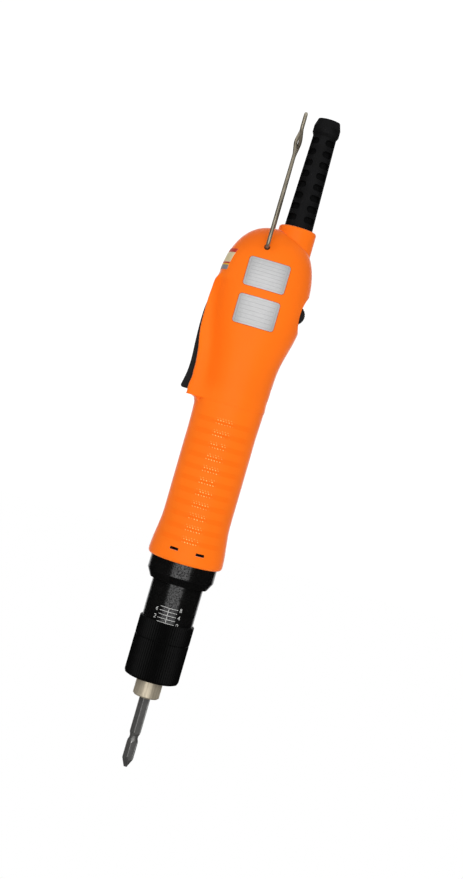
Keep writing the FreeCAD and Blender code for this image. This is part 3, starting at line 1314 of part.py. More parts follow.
def bit():
    """The double-ended hexagon bit with a groove and a cross point at each end."""
    corner = BIT_ACROSS / 2 / math.cos(math.pi / 6)
    middle = (BIT_TIP + BIT_TOP) / 2
    point = turned([
        (0, BIT_TIP), (BIT_TIP_RADIUS, BIT_TIP), (corner, BIT_TIP + BIT_TAPER), (corner, middle), (0, middle),
    ])
    half = hexagon(BIT_ACROSS, BIT_TIP, middle).common(point)
    low = BIT_TIP + BIT_GROOVE_PLACE - BIT_GROOVE_LENGTH / 2
    high = low + BIT_GROOVE_LENGTH
    half = half.cut(turned([
        (BIT_NECK_RADIUS, low), (corner, low - BIT_GROOVE_RAMP), (2 * corner, low - BIT_GROOVE_RAMP),
        (2 * corner, high + BIT_GROOVE_RAMP), (corner, high + BIT_GROOVE_RAMP), (BIT_NECK_RADIUS, high),
    ]))
    lean = math.degrees(math.atan((corner - BIT_TIP_RADIUS) / BIT_TAPER))
    for k in range(4):
        flute = post(BIT_FLUTE_RADIUS, 0, BIT_FLUTE_LENGTH)
        flute.rotate(vec(0, 0, 0), Y_AXIS, lean)
        flute.translate(vec(BIT_TIP_RADIUS + BIT_FLUTE_RADIUS - BIT_FLUTE_DEEP / 2, 0, BIT_TIP))
        flute.rotate(vec(0, 0, 0), Z_AXIS, BIT_TURN + 90 * k)
        half = half.cut(flute)
    return half.fuse(half.mirror(vec(0, 0, middle), Z_AXIS)).removeSplitter()


def motor_can():
    """The motor's steel can."""
    return ring(CORE_RADIUS, CORE_RADIUS - CAN_WALL, MOTOR_BOTTOM, CAN_TOP)


def motor_front_plate():
    """The plate between gears and motor, with the rotor's front bearing hole."""
    return ring(CORE_RADIUS, ROTOR_SHAFT_RADIUS + SLIP_FIT, GEAR_TOP, MOTOR_BOTTOM)


def magnet_inner():
    """Inside radius of the magnets."""
    return CORE_RADIUS - CAN_WALL - MAGNET_THICKNESS


def motor_magnets():
    """The two magnets in the can."""
    low = MOTOR_BOTTOM + MAGNET_START
    outer = CORE_RADIUS - CAN_WALL - SNUG_FIT
    arcs = []
    for side in (0, 1):
        arc = Part.makeCylinder(outer, MAGNET_LENGTH, vec(0, 0, low), Z_AXIS, MAGNET_ANGLE)
        arc = arc.cut(post(magnet_inner(), low, low + MAGNET_LENGTH))
        arc.rotate(vec(0, 0, 0), Z_AXIS, 180 * side - MAGNET_ANGLE / 2)
        arcs.append(arc)
    return Part.makeCompound(arcs)


def brush_middle():
    """Height of the brushes."""
    return COMMUTATOR_BOTTOM + COMMUTATOR_LENGTH / 2


def motor_end_bell():
    """The end bell with the brush holders under it."""
    bell = ring(CORE_RADIUS, ROTOR_SHAFT_RADIUS + SLIP_FIT, CAN_TOP, BELL_TOP)
    inner = COMMUTATOR_RADIUS + LOOSE_GAP
    outer = COMMUTATOR_RADIUS + BRUSH_GAP + BRUSH_LENGTH + HOLDER_WALL
    wide = BRUSH_HALF + HOLDER_WALL
    low = brush_middle() - wide
    holder = box(inner, outer, -wide, wide, low, CAN_TOP)
    hole_end = COMMUTATOR_RADIUS + BRUSH_GAP + BRUSH_LENGTH
    reach = BRUSH_HALF + SNUG_FIT
    holder = holder.cut(box(inner, hole_end, -reach, reach, brush_middle() - reach, brush_middle() + reach))
    bell = joined([bell, *copies(holder, 2)])
    for side in (-1, 1):
        bell = bell.cut(
            post(LEAD_RADIUS + SNUG_FIT, BELL_TOP - LEAD_SINK, BELL_TOP, side * LEAD_OFFSET,
                 BOARD_FACE_Y - LEAD_RADIUS)
        )
    return bell


def motor_brushes():
    """The two carbon brushes."""
    inner = COMMUTATOR_RADIUS + BRUSH_GAP
    one = box(inner, inner + BRUSH_LENGTH, -BRUSH_HALF, BRUSH_HALF,
              brush_middle() - BRUSH_HALF, brush_middle() + BRUSH_HALF)
    return Part.makeCompound(copies(one, 2))


def rotor_shaft():
    """The rotor's shaft with the first sun at its lower end."""
    sun = toothed(SUN_TEETH, FIRST_PLANET_BOTTOM, GEAR_TOP - STAGE_GAP, 0)
    return joined([post(ROTOR_SHAFT_RADIUS, FIRST_PLANET_BOTTOM, BELL_TOP + ROTOR_TAIL), sun])


def armature_core():
    """The wound core on the rotor's shaft, with its slots."""
    low = MOTOR_BOTTOM + MAGNET_START + (MAGNET_LENGTH - CORE_LENGTH) / 2
    outer = magnet_inner() - AIR_GAP
    core = ring(outer, ROTOR_SHAFT_RADIUS + SNUG_FIT, low, low + CORE_LENGTH)
    slot = box(outer - CORE_SLOT_DEPTH, 2 * outer, -CORE_SLOT_HALF, CORE_SLOT_HALF, low, low + CORE_LENGTH)
    return core.cut(Part.makeCompound(copies(slot, CORE_SLOTS)))


def commutator():
    """The commutator on the rotor's shaft."""
    top = COMMUTATOR_BOTTOM + COMMUTATOR_LENGTH
    return ring(COMMUTATOR_RADIUS, ROTOR_SHAFT_RADIUS + SNUG_FIT, COMMUTATOR_BOTTOM, top)


PIECES = {
    "front_housing": front_housing,
    "rear_housing": rear_housing,
    "housing_screws": housing_screws,
    "upper_label": lambda: face_label(UPPER_LABEL_Z),
    "lower_label": lambda: face_label(LOWER_LABEL_Z),
    "side_label": side_label,
    "start_lever": start_lever,
    "lever_pin": lever_pin,
    "lever_spring": lever_spring,
    "start_switch": start_switch,
    "start_plunger": start_plunger,
    "reverse_knob": reverse_knob,
    "reverse_switch": reverse_switch,
    "circuit_board": circuit_board,
    "board_plug": board_plug,
    "board_screws": board_screws,
    "inner_cord": inner_cord,
    "motor_leads": motor_leads,
    "cord_boot": cord_boot,
    "power_socket": power_socket,
    "socket_insulator": socket_insulator,
    "socket_contacts": socket_contacts,
    "hang_hook": hang_hook,
    "nose_flange": nose_flange,
    "scale_barrel": scale_barrel,
    "torque_nut": torque_nut,
    "spring_seat": lambda: ring(SEAT_RADIUS, NUT_BORE_RADIUS, NUT_FLOOR_TOP, SEAT_TOP),
    "torque_spring": torque_spring,
    "thrust_washer": lambda: ring(SEAT_RADIUS, THRUST_BORE_RADIUS, WASHER_BOTTOM, WASHER_TOP),
    "clutch_plate": clutch_plate,
    "clutch_balls": lambda: Part.makeCompound(clutch_ball_set(CLUTCH_BALL_RADIUS)),
    "clutch_driver": clutch_driver,
    "output_bearing": output_bearing,
    "output_carrier": output_carrier,
    "first_carrier": first_carrier,
    "ring_gear": ring_gear,
    "spindle": spindle,
    "chuck_balls": chuck_balls,
    "chuck_sleeve": chuck_sleeve,
    "sleeve_spring": sleeve_spring,
    "sleeve_stop_ring": sleeve_stop_ring,
    "bit": bit,
    "motor_front_plate": motor_front_plate,
    "motor_can": motor_can,
    "motor_magnets": motor_magnets,
    "motor_end_bell": motor_end_bell,
    "motor_brushes": motor_brushes,
    "rotor_shaft": rotor_shaft,
    "armature_core": armature_core,
    "commutator": commutator,
}
for number in range(PLANETS):
    PIECES[f"first_planet_{number + 1}"] = lambda k=number: planet(FIRST_PLANET_BOTTOM, k)
    PIECES[f"second_planet_{number + 1}"] = lambda k=number: planet(SECOND_PLANET_BOTTOM, k)


def main():
    """Builds every piece and writes it."""
    os.makedirs("parts", exist_ok=True)
    for name, build in PIECES.items():
        shape = build()
        print(name, len(shape.Solids), round(shape.Volume, 2), shape.isValid())
        shape.exportStep(f"parts/{name}.step")


main()
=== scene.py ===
"""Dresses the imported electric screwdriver: finishes, printed marks, light and camera."""

import logging
import math
from dataclasses import dataclass, field
from enum import Enum
from typing import Iterable, Sequence, Union

import bmesh
import bpy
from mathutils import Matrix, Vector


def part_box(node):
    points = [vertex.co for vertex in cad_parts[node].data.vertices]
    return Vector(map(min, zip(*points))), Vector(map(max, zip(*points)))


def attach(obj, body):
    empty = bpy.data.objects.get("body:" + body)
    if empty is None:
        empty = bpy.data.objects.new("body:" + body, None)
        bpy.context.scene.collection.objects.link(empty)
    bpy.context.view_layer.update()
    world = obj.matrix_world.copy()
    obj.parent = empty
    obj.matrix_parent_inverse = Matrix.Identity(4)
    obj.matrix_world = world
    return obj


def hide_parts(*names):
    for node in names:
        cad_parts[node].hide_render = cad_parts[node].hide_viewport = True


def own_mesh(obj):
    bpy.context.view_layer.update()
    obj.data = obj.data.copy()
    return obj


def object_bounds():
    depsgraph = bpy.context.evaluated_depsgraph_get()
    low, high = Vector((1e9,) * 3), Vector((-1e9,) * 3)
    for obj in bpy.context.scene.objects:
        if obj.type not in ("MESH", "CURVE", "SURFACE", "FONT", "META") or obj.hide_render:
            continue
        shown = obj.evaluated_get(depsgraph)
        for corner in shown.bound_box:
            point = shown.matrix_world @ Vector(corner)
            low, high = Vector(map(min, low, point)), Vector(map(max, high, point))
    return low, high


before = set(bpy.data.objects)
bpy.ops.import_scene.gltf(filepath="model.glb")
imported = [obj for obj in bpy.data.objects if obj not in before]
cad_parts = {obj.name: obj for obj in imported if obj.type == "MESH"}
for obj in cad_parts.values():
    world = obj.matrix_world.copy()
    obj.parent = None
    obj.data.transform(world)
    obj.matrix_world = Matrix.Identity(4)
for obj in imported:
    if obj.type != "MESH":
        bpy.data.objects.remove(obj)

CAD_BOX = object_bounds()
LOG = logging.getLogger("screwdriver")
MM = 0.001
TURN = 2 * math.pi
PHOTO_TILT = math.radians(16.15)
NOISE_MIDDLE = 0.5
# The colour sockets of a Mix node, by place.
MIX_SHARE, MIX_LOW, MIX_HIGH, MIX_RESULT = 0, 6, 7, 2

Colour = tuple[float, float, float]
Point2 = tuple[float, float]
Point3 = tuple[float, float, float]
Plug = Union["Value", float, Sequence[float]]

BLACK: Colour = (0.0, 0.0, 0.0)
WHITE: Colour = (1.0, 1.0, 1.0)
EVEN: Point3 = (1.0, 1.0, 1.0)


class Layers(Enum):
    """How many finer layers a noise has."""

    PLAIN = 1.0
    SOFT = 2.0
    FULL = 3.0
    RICH = 4.0


class Value:
    """One shader socket that takes part in Python sums."""

    def __init__(self, recipe: "Recipe", socket: bpy.types.NodeSocket) -> None:
        """Keeps the socket and the recipe it belongs to."""
        self.recipe = recipe
        self.socket = socket

    def _math(self, operation: str, *terms: Plug) -> "Value":
        """The result of one Math node, with its inputs in order."""
        return self.recipe.add("ShaderNodeMath", {"operation": operation}, dict(enumerate(terms)))

    def __add__(self, other: Plug) -> "Value":
        """The sum."""
        return self._math("ADD", self, other)

    def __radd__(self, other: Plug) -> "Value":
        """The sum, from the right."""
        return self._math("ADD", other, self)

    def __sub__(self, other: Plug) -> "Value":
        """The difference."""
        return self._math("SUBTRACT", self, other)

    def __rsub__(self, other: Plug) -> "Value":
        """The difference, from the right."""
        return self._math("SUBTRACT", other, self)

    def __mul__(self, other: Plug) -> "Value":
        """The product."""
        return self._math("MULTIPLY", self, other)

    def __rmul__(self, other: Plug) -> "Value":
        """The product, from the right."""
        return self._math("MULTIPLY", other, self)

    def __pow__(self, other: Plug) -> "Value":
        """The power."""
        return self._math("POWER", self, other)

    def __abs__(self) -> "Value":
        """The size without its sign."""
        return self._math("ABSOLUTE", self)

    def __mod__(self, other: Plug) -> "Value":
        """What is left after whole steps, never negative."""
        return self._math("FLOORED_MODULO", self, other)

    def wave(self) -> "Value":
        """The cosine."""
        return self._math("COSINE", self)

    def ripple(self) -> "Value":
        """The cosine, brought to between 0 and 1."""
        return self.wave() * 0.5 + 0.5

    def length(self, other: Plug) -> "Value":
        """How far the point (self, other) lies from the origin."""
        return (self * self + other * other) ** 0.5

    def angle(self, other: Plug) -> "Value":
        """The angle of the point (other, self)."""
        return self._math("ARCTAN2", self, other)

    def larger(self, other: Plug) -> "Value":
        """The larger of the two."""
        return self._math("MAXIMUM", self, other)

    def smaller(self, other: Plug) -> "Value":
        """The smaller of the two."""
        return self._math("MINIMUM", self, other)

    def rise(self, low: float, high: float) -> "Value":
        """A smooth step from 0 at low to 1 at high, which may lie below low."""
        sockets = {"Value": self, "From Min": low, "From Max": high}
        return self.recipe.add("ShaderNodeMapRange", {"interpolation_type": "SMOOTHSTEP"}, sockets)


class Recipe:
    """The node tree of a material or a world, built one node at a time."""

    def __init__(self, owner: bpy.types.Material | bpy.types.World) -> None:
        """Starts an empty tree.

        Args:
            owner: What the tree belongs to.
        """
        self.owner = owner
        owner.use_nodes = True
        self.tree = owner.node_tree
        self.tree.nodes.clear()

    def add(
        self,
        kind: str,
        settings: dict[str, object] | None = None,
        sockets: dict[str | int, Plug] | None = None,
        out: str | int = 0,
    ) -> Value:
        """Adds any node.

        Args:
            kind: The node's type.
            settings: Its settings, set before its sockets.
            sockets: Values or links for its inputs, by name or place.
            out: Which output is handed back.

        Returns:
            That output.
        """
        node = self.tree.nodes.new(kind)
        for name, setting in (settings or {}).items():
            setattr(node, name, setting)
        for key, plug in (sockets or {}).items():
            if isinstance(plug, Value):
                self.tree.links.new(plug.socket, node.inputs[key])
            else:
                node.inputs[key].default_value = plug
        return Value(self, node.outputs[out] if node.outputs else None)

    def place(self) -> tuple[Value, Value, Value]:
        """Where a point lies on its piece: its x, y and z in millimetres."""
        split = self.add("ShaderNodeSeparateXYZ", sockets={0: self.spot()}).socket.node
        return tuple(Value(self, output) for output in split.outputs)

    def spot(self, squeeze: Point3 = EVEN) -> Value:
        """The point itself in millimetres, with a factor for each axis."""
        sockets = {0: self.add("ShaderNodeTexCoord", out="Object"), 1: Vector(squeeze) / MM}
        return self.add("ShaderNodeVectorMath", {"operation": "MULTIPLY"}, sockets)

    def noise(self, scale: float, layers: Layers, squeeze: Point3 = EVEN, rough: float = 0.5) -> Value:
        """Cloudy noise.

        Args:
            scale: Clouds in a millimetre.
            layers: How many finer layers it has.
            squeeze: A factor for each axis.
            rough: How strong the finer layers are.

        Returns:
            A value about the middle of 0 to 1.
        """
        return self.add("ShaderNodeTexNoise", sockets={
            "Vector": self.spot(squeeze), "Scale": scale, "Detail": layers.value, "Roughness": rough,
        })

    def cells(self, scale: float) -> Value:
        """The distance to the nearest of many scattered dots, in a share of their spacing."""
        return self.add("ShaderNodeTexVoronoi", sockets={"Vector": self.spot(), "Scale": scale})

    def blend(self, share: Plug, low: Plug, high: Plug) -> Value:
        """A colour between two: a share of 0 gives the low one and 1 the high one."""
        sockets = {MIX_SHARE: share, MIX_LOW: rgba(low), MIX_HIGH: rgba(high)}
        return self.add("ShaderNodeMix", {"data_type": "RGBA"}, sockets, out=MIX_RESULT)

    def bump(self, height: Value, depth: float, strength: float) -> Value:
        """A normal from a height, where 1 stands for a depth in millimetres."""
        sockets = {"Height": height, "Distance": depth * MM, "Strength": strength}
        return self.add("ShaderNodeBump", sockets=sockets)

    def watched(self) -> Value:
        """1 for the rays that show a picture.

        Returns:
            1 for rays from the camera, a gloss or a clear piece, and 0 for those that light.
        """
        seen = self.add("ShaderNodeLightPath", out="Is Camera Ray")
        outputs = seen.socket.node.outputs
        for ray in ("Is Glossy Ray", "Is Transmission Ray"):
            seen = seen.larger(Value(self, outputs[ray]))
        return seen

    def finish(self, sockets: dict[str | int, Plug]) -> bpy.types.Material:
        """The material, once it ends in one surface shader with these inputs."""
        return self.end(self.add("ShaderNodeBsdfPrincipled", sockets=sockets))

    def end(self, shader: Value, kind: str = "ShaderNodeOutputMaterial") -> bpy.types.ID:
        """The tree's owner, once a shader leads to its output."""
        self.add(kind, sockets={"Surface": shader})
        return self.owner


def rgba(colour: Plug) -> Plug:
    """A colour with its fourth number, or a link as it is."""
    return colour if isinstance(colour, Value) else (*colour, 1.0)


def toned(colour: Colour, factor: float, lift: float = 0.0) -> Colour:
    """A colour with each channel multiplied and then lifted, at most to white."""
    return tuple(min(1.0, c * factor + lift) for c in colour)


@dataclass(frozen=True)
class Finish:
    """What every finish shares.

    A span or edge is where a smooth step is 0 and where it is 1. A bump is a depth in millimetres
    and how much of it shows.
    """

    name: str
    colour: Colour
    rough: float

    def material(self) -> bpy.types.Material:
        """The finish's one material, made on first use."""
        found = bpy.data.materials.get(self.label())
        return found if found else self.make(Recipe(bpy.data.materials.new(self.label())))

    def label(self) -> str:
        """The material's name."""
        return f"{self.name}_finish"

    def matt(self, noise: Value, spread: float) -> Value:
        """The finish's roughness, varied by a noise over a spread."""
        return self.rough + (noise - NOISE_MIDDLE) * spread

    def make(self, r: Recipe) -> bpy.types.Material:
        """Builds the material in an empty recipe."""
        raise NotImplementedError


@dataclass(frozen=True)
class OrangeShell(Finish):
    """Moulded shell plastic: fine grain, grip lines with painted glints and painted shade, painted shade in
    the cheek creases, on the dome and right side and in the hook holes, a painted shadow line round the
    labels, a painted highlight on the cheek ridges, and a parting line; sizes in millimetres.
    """

    grain_scale: float = 2.6
    grain_height: float = 0.25
    cloud_scale: float = 0.045
    cloud_span: Point2 = (0.3, 0.7)
    cloud_dark: float = 0.95
    rub_scale: float = 0.35
    rub_spread: float = 0.14
    gloss: float = 0.14
    haze: float = 0.6
    haze_rough: float = 0.25
    skin_bump: Point2 = (0.05, 0.8)
    # Painted glint colour for the grip lines.
    spark: Colour = (1.0, 0.62, 0.16)
    # Pale tone for rim wear and for the painted highlight on the cheek ridges.
    pale: Colour = (1.0, 0.25, 0.012)
    # Painted shade tone for the cheek valleys and the grip lines.
    painted_shade: Colour = (0.97, 0.145, 0.0)
    # Painted shade tone for the head's dome and right side.
    dome_shade: Colour = (0.86, 0.14, 0.002)
    # Painted shade tone for the hook holes.
    shade: Colour = (0.012, 0.004, 0.002)

    first_rib: float = 14.6
    rib_pitch: float = 5.77
    rib_groups: int = 11
    rib_flank: Point2 = (8.0, 12.5)
    rib_soft: float = 0.2
    line_pitch: float = 0.85
    line_height: float = 0.9
    band_half: float = 1.3
    band_shade_share: float = 0.55
    row_place: float = 0.78
    row_edge: Point2 = (0.3, 0.12)
    faint_place: float = 1.75
    faint_share: float = 0.35
    glint_edge: Point2 = (4.8, 2.6)
    glint_scale: float = 0.9
    glint_span: Point2 = (0.3, 0.55)
    glint_polish: float = 0.15
    pit_shade_share: float = 0.45
    dash_pitch: float = 1.35
    dash_slant: float = 2.6
    dash_span: Point2 = (0.0, 0.7)

    seam_edge: Point2 = (0.11, 0.05)
    seam_depth: float = 1.5
    seam_share: float = 0.55
    seam_dark: float = 0.35
    worn_edge: Point2 = (4.7, 3.7)
    worn_span: Point2 = (0.45, 0.7)
    worn_share: float = 0.8

    crease_foot: Point2 = (-12.65, 93.0)
    crease_slope: float = 0.1
    crease_bend: float = 0.0027
    crease_top: Point2 = (139.0, 137.0)
    valley_left: Point2 = (-3.4, -0.2)
    valley_right: Point2 = (11.0, 0.0)
    valley_foot: Point2 = (-10.0, 0.0)
    valley_shade_share: float = 0.95
    ridge_edge: Point2 = (-2.4, -4.2)
    ridge_foot: Point2 = (5.0, 13.0)
    ridge_share: float = 0.15

    dome_up: Point2 = (148.0, 163.0)
    dome_left: Point2 = (3.0, -4.0)
    side_right: Point2 = (11.0, 20.0)
    side_up: Point2 = (112.0, 122.0)
    side_share: float = 0.5
    dome_shade_share: float = 0.75

    hook_hole: Point2 = (-3.55, 156.6)
    hole_edge: Point2 = (1.5, 1.25)
    plates: tuple[tuple[Point2, Point2], ...] = ()
    plate_round: float = 1.4
    plate_line: Point2 = (0.45, 0.1)
    plate_front: Point2 = (0.0, -1.0)
    plate_share: float = 0.7
    plate_shade: Colour = (0.42, 0.03, 0.0)

    def grip(self, r: Recipe, place: tuple[Value, Value, Value]) -> tuple[Value, Value, Value]:
        """The fine lines of the grip ribs, with their painted glints and painted shade.

        Args:
            r: The recipe that grows.
            place: Where a point lies.

        Returns:
            The lines' height, how much painted shade they take, and their painted glints.
        """
        x, y, z = place
        step = z - (self.first_rib - self.rib_pitch / 2)
        inside = step % self.rib_pitch - self.rib_pitch / 2
        end = self.rib_groups * self.rib_pitch
        span = step.rise(0.0, self.rib_soft) * step.rise(end, end - self.rib_soft)
        span = span * abs(y).rise(*self.rib_flank)
        band = abs(inside).rise(self.band_half, self.band_half - self.rib_soft) * span
        front = abs(x).rise(*self.glint_edge) * span
        strong = abs(abs(inside) - self.row_place).rise(*self.row_edge)
        faint = abs(inside - self.faint_place).rise(*self.row_edge)
        dash = (x * (TURN / self.dash_pitch) + inside * self.dash_slant).wave().rise(*self.dash_span)
        # Painted glints: pale dots along the rows at the front of the grip.
        dots = front * (strong + faint * self.faint_share) * dash
        dots = dots * r.noise(self.glint_scale, Layers.PLAIN).rise(*self.glint_span)
        # Painted shade between the glints; the whole band also takes some.
        pit_shade = front * band * (1 - strong * dash)
        lines = (inside * (TURN / self.line_pitch)).ripple() * band
        return lines, band * self.band_shade_share + pit_shade * self.pit_shade_share, dots

    def crease(self, x: Value, z: Value) -> tuple[Value, Value]:
        """The painted shade in the valley beside each lever cheek, and the painted highlight on the cheek's
        rounded ridge.

        Args:
            x: Across the tool.
            z: Along the tool.

        Returns:
            How much painted shade the valley takes and how much painted highlight the ridge takes.
        """
        up = z - self.crease_foot[1]
        beside = x - self.crease_foot[0] + up * self.crease_slope + up * up * self.crease_bend
        top = z.rise(*self.crease_top)
        valley = beside.rise(*self.valley_left) * beside.rise(*self.valley_right) * up.rise(*self.valley_foot)
        ridge = beside.rise(*self.ridge_edge) * up.rise(*self.ridge_foot)
        return valley * top, ridge * top

    def dome_side_shade(self, x: Value, z: Value) -> Value:
        """How much painted shade the head's dome and right side take."""
        dome = z.rise(*self.dome_up) * x.rise(*self.dome_left)
        return dome.larger(x.rise(*self.side_right) * z.rise(*self.side_up) * self.side_share)

    def plate_shadow(self, place: tuple[Value, Value, Value], plate: tuple[Point2, Point2]) -> Value:
        """The painted shadow line round a label.

        Args:
            place: Where a point lies.
            plate: The label's lowest and highest corner.

        Returns:
            How much of the line there is.
        """
        x, y, z = place
        (left, foot), (right, top) = plate
        aside = (abs(x - (left + right) / 2) - ((right - left) / 2 - self.plate_round)).larger(0.0)
        above = (abs(z - (foot + top) / 2) - ((top - foot) / 2 - self.plate_round)).larger(0.0)
        apart = aside.length(above) - self.plate_round
        return apart.rise(*self.plate_line) * y.rise(*self.plate_front)

    def make(self, r: Recipe) -> bpy.types.Material:
        """Builds the shell's material.

        Args:
            r: An empty recipe.

        Returns:
            The material.
        """
        place = r.place()
        x, y, z = place
        rub = r.noise(self.rub_scale, Layers.RICH)
        lines, grip_shade, dots = self.grip(r, place)
        valley, ridge = self.crease(x, z)
        seam = abs(y).rise(*self.seam_edge)
        worn = z.rise(*self.worn_edge) * rub.rise(*self.worn_span)
        hole = (x - self.hook_hole[0]).length(z - self.hook_hole[1]).rise(*self.hole_edge)
        cloud = r.noise(self.cloud_scale, Layers.SOFT).rise(*self.cloud_span)
        tone = r.blend(cloud, toned(self.colour, self.cloud_dark), self.colour)
        # Rim wear, and a painted highlight on the cheek ridges.
        tone = r.blend(worn * self.worn_share + ridge * self.ridge_share, tone, self.pale)
        # Painted shade in the cheek valleys.
        tone = r.blend(valley * self.valley_shade_share, tone, self.painted_shade)
        # Painted shade on the head's dome and right side.
        tone = r.blend(self.dome_side_shade(x, z) * self.dome_shade_share, tone, self.dome_shade)
        # Painted shade in the grip lines.
        tone = r.blend(grip_shade, tone, self.painted_shade)
        # Painted glints on the grip lines.
        tone = r.blend(dots, tone, self.spark)
        tone = r.blend(seam * self.seam_share, tone, toned(self.colour, self.seam_dark))
        # Painted shade in the hook holes.
        tone = r.blend(hole, tone, self.shade)
        # Painted shadow line round each label.
        for plate in self.plates:
            tone = r.blend(self.plate_shadow(place, plate) * self.plate_share, tone, self.plate_shade)
        grain = r.noise(self.grain_scale, Layers.FULL)
        height = grain * self.grain_height + lines * self.line_height - seam * self.seam_depth
        return r.finish({
            "Base Color": tone,
            "Roughness": self.matt(rub, self.rub_spread) - dots * self.glint_polish,
            "Specular IOR Level": self.gloss,
            "Sheen Weight": self.haze,
            "Sheen Roughness": self.haze_rough,
            "Normal": r.bump(height, *self.skin_bump),
        })


@dataclass(frozen=True)
class MouldedPlastic(Finish):
    """Plain moulded plastic with a spark-eroded grain and rubbed patches."""

    grain: float = 3.0
    gloss: float = 0.35
    grain_bump: Point2 = (0.02, 0.5)
    rub_scale: float = 0.22
    rub_span: Point2 = (0.5, 0.8)
    rub_spread: float = 0.2
    pale: Point2 = (1.5, 0.006)

    def make(self, r: Recipe) -> bpy.types.Material:
        """Builds the plastic's material.

        Args:
            r: An empty recipe.

        Returns:
            The material.
        """
        rub = r.noise(self.rub_scale, Layers.RICH)
        return r.finish({
            "Base Color": r.blend(rub.rise(*self.rub_span), self.colour, toned(self.colour, *self.pale)),
            "Roughness": self.matt(rub, self.rub_spread),
            "Specular IOR Level": self.gloss,
            "Normal": r.bump(r.noise(self.grain, Layers.FULL), *self.grain_bump),
        })


@dataclass(frozen=True)
class BootRubber(Finish):
    """Matt rubber with a fine skin, a few specks of dust and painted shade in its slots; sizes in
    millimetres.
    """

    gloss: float = 0.09
    axis_x: float = 8.1
    foot_z: float = 170.6
    foot_radius: float = 6.8
    neck_z: float = 215.4
    neck_radius: float = 5.65
    neck_soft: float = 0.5
    sunk_span: Point2 = (0.15, 0.8)
    sunk_shade_share: float = 0.5
    sunk_rough: float = 0.2
    skin_scale: float = 4.0
    skin_bump: Point2 = (0.03, 0.6)
    cloud_scale: float = 0.25
    cloud_span: Point2 = (0.35, 0.75)
    cloud_spread: float = 0.2
    cloud_pale: float = 1.7
    speck_scale: float = 1.1
    speck_span: Point2 = (0.13, 0.05)
    dust_scale: float = 0.6
    dust_span: Point2 = (0.55, 0.65)
    dust_share: float = 0.35
    dust: Colour = (0.25, 0.25, 0.24)

    def sunk(self, r: Recipe) -> Value:
        """How far a point lies in one of the slots.

        Args:
            r: The recipe that grows.

        Returns:
            A value from 0 to 1.
        """
        x, y, z = r.place()
        taper = (self.neck_radius - self.foot_radius) / (self.neck_z - self.foot_z)
        skin = (z - self.foot_z) * taper + self.foot_radius
        depth = skin - (x - self.axis_x).length(y)
        return depth.rise(*self.sunk_span) * z.rise(self.neck_z, self.neck_z - self.neck_soft)

    def make(self, r: Recipe) -> bpy.types.Material:
        """Builds the rubber's material.

        Args:
            r: An empty recipe.

        Returns:
            The material.
        """
        sunk = self.sunk(r)
        cloud = r.noise(self.cloud_scale, Layers.FULL)
        specks = r.cells(self.speck_scale).rise(*self.speck_span)
        specks = specks * r.noise(self.dust_scale, Layers.PLAIN).rise(*self.dust_span)
        tone = r.blend(cloud.rise(*self.cloud_span), self.colour, toned(self.colour, self.cloud_pale))
        tone = r.blend(specks * self.dust_share, tone, self.dust)
        return r.finish({
            # Painted shade in the slots.
            "Base Color": r.blend(sunk * self.sunk_shade_share, tone, BLACK),
            "Roughness": self.matt(cloud, self.cloud_spread) + sunk * self.sunk_rough,
            "Specular IOR Level": self.gloss,
            "Normal": r.bump(r.noise(self.skin_scale, Layers.FULL), *self.skin_bump),
        })


@dataclass(frozen=True)
class TurnedMetal(Finish):
    """Metal turned about the spindle axis: fine rings, a little grit, a speckled coat, streaks along it."""

    metal: float = 1.0
    gloss: float = 0.5
    rings: float = 7.0
    ring_depth: float = 0.006
    ring_strength: float = 0.8
    ring_squeeze: Point3 = (0.03, 0.03, 1.0)
    grit: float = 0.12
    grit_scale: float = 3.2
    cloud_scale: float = 0.12
    cloud_span: Point2 = (0.35, 0.7)
    cloud_pale: float = 1.25
    speckle: float = 0.0
    speckle_scale: float = 1.7
    speckle_rough: float = 0.7
    streak: float = 0.0
    streak_scale: float = 0.8
    streak_squeeze: Point3 = (1.0, 1.0, 0.02)
    streak_dark: float = 0.5
    patch_span: Point2 = (0.35, 0.65)

    def make(self, r: Recipe) -> bpy.types.Material:
        """Builds the metal's material.

        Args:
            r: An empty recipe.

        Returns:
            The material.
        """
        cloud = r.noise(self.cloud_scale, Layers.FULL).rise(*self.cloud_span)
        tone = r.blend(cloud, self.colour, toned(self.colour, self.cloud_pale))
        matt = self.matt(r.noise(self.grit_scale, Layers.SOFT), 2 * self.grit)
        rings = r.noise(self.rings, Layers.SOFT, self.ring_squeeze)
        sockets = {
            "Metallic": self.metal,
            "Specular IOR Level": self.gloss,
            "Normal": r.bump(rings, self.ring_depth, self.ring_strength),
        }
        if self.streak:
            lines = r.noise(self.streak_scale, Layers.SOFT, self.streak_squeeze).rise(*self.patch_span)
            tone = r.blend(lines * self.streak, tone, toned(self.colour, self.streak_dark))
            matt = matt + lines * (self.streak / 2)
        if self.speckle:
            specks = r.noise(self.speckle_scale, Layers.PLAIN, rough=self.speckle_rough)
            sockets["Coat Weight"] = specks.rise(*self.patch_span) * self.speckle
            sockets["Coat Roughness"] = self.rough
        return r.finish({"Base Color": tone, "Roughness": matt, **sockets})


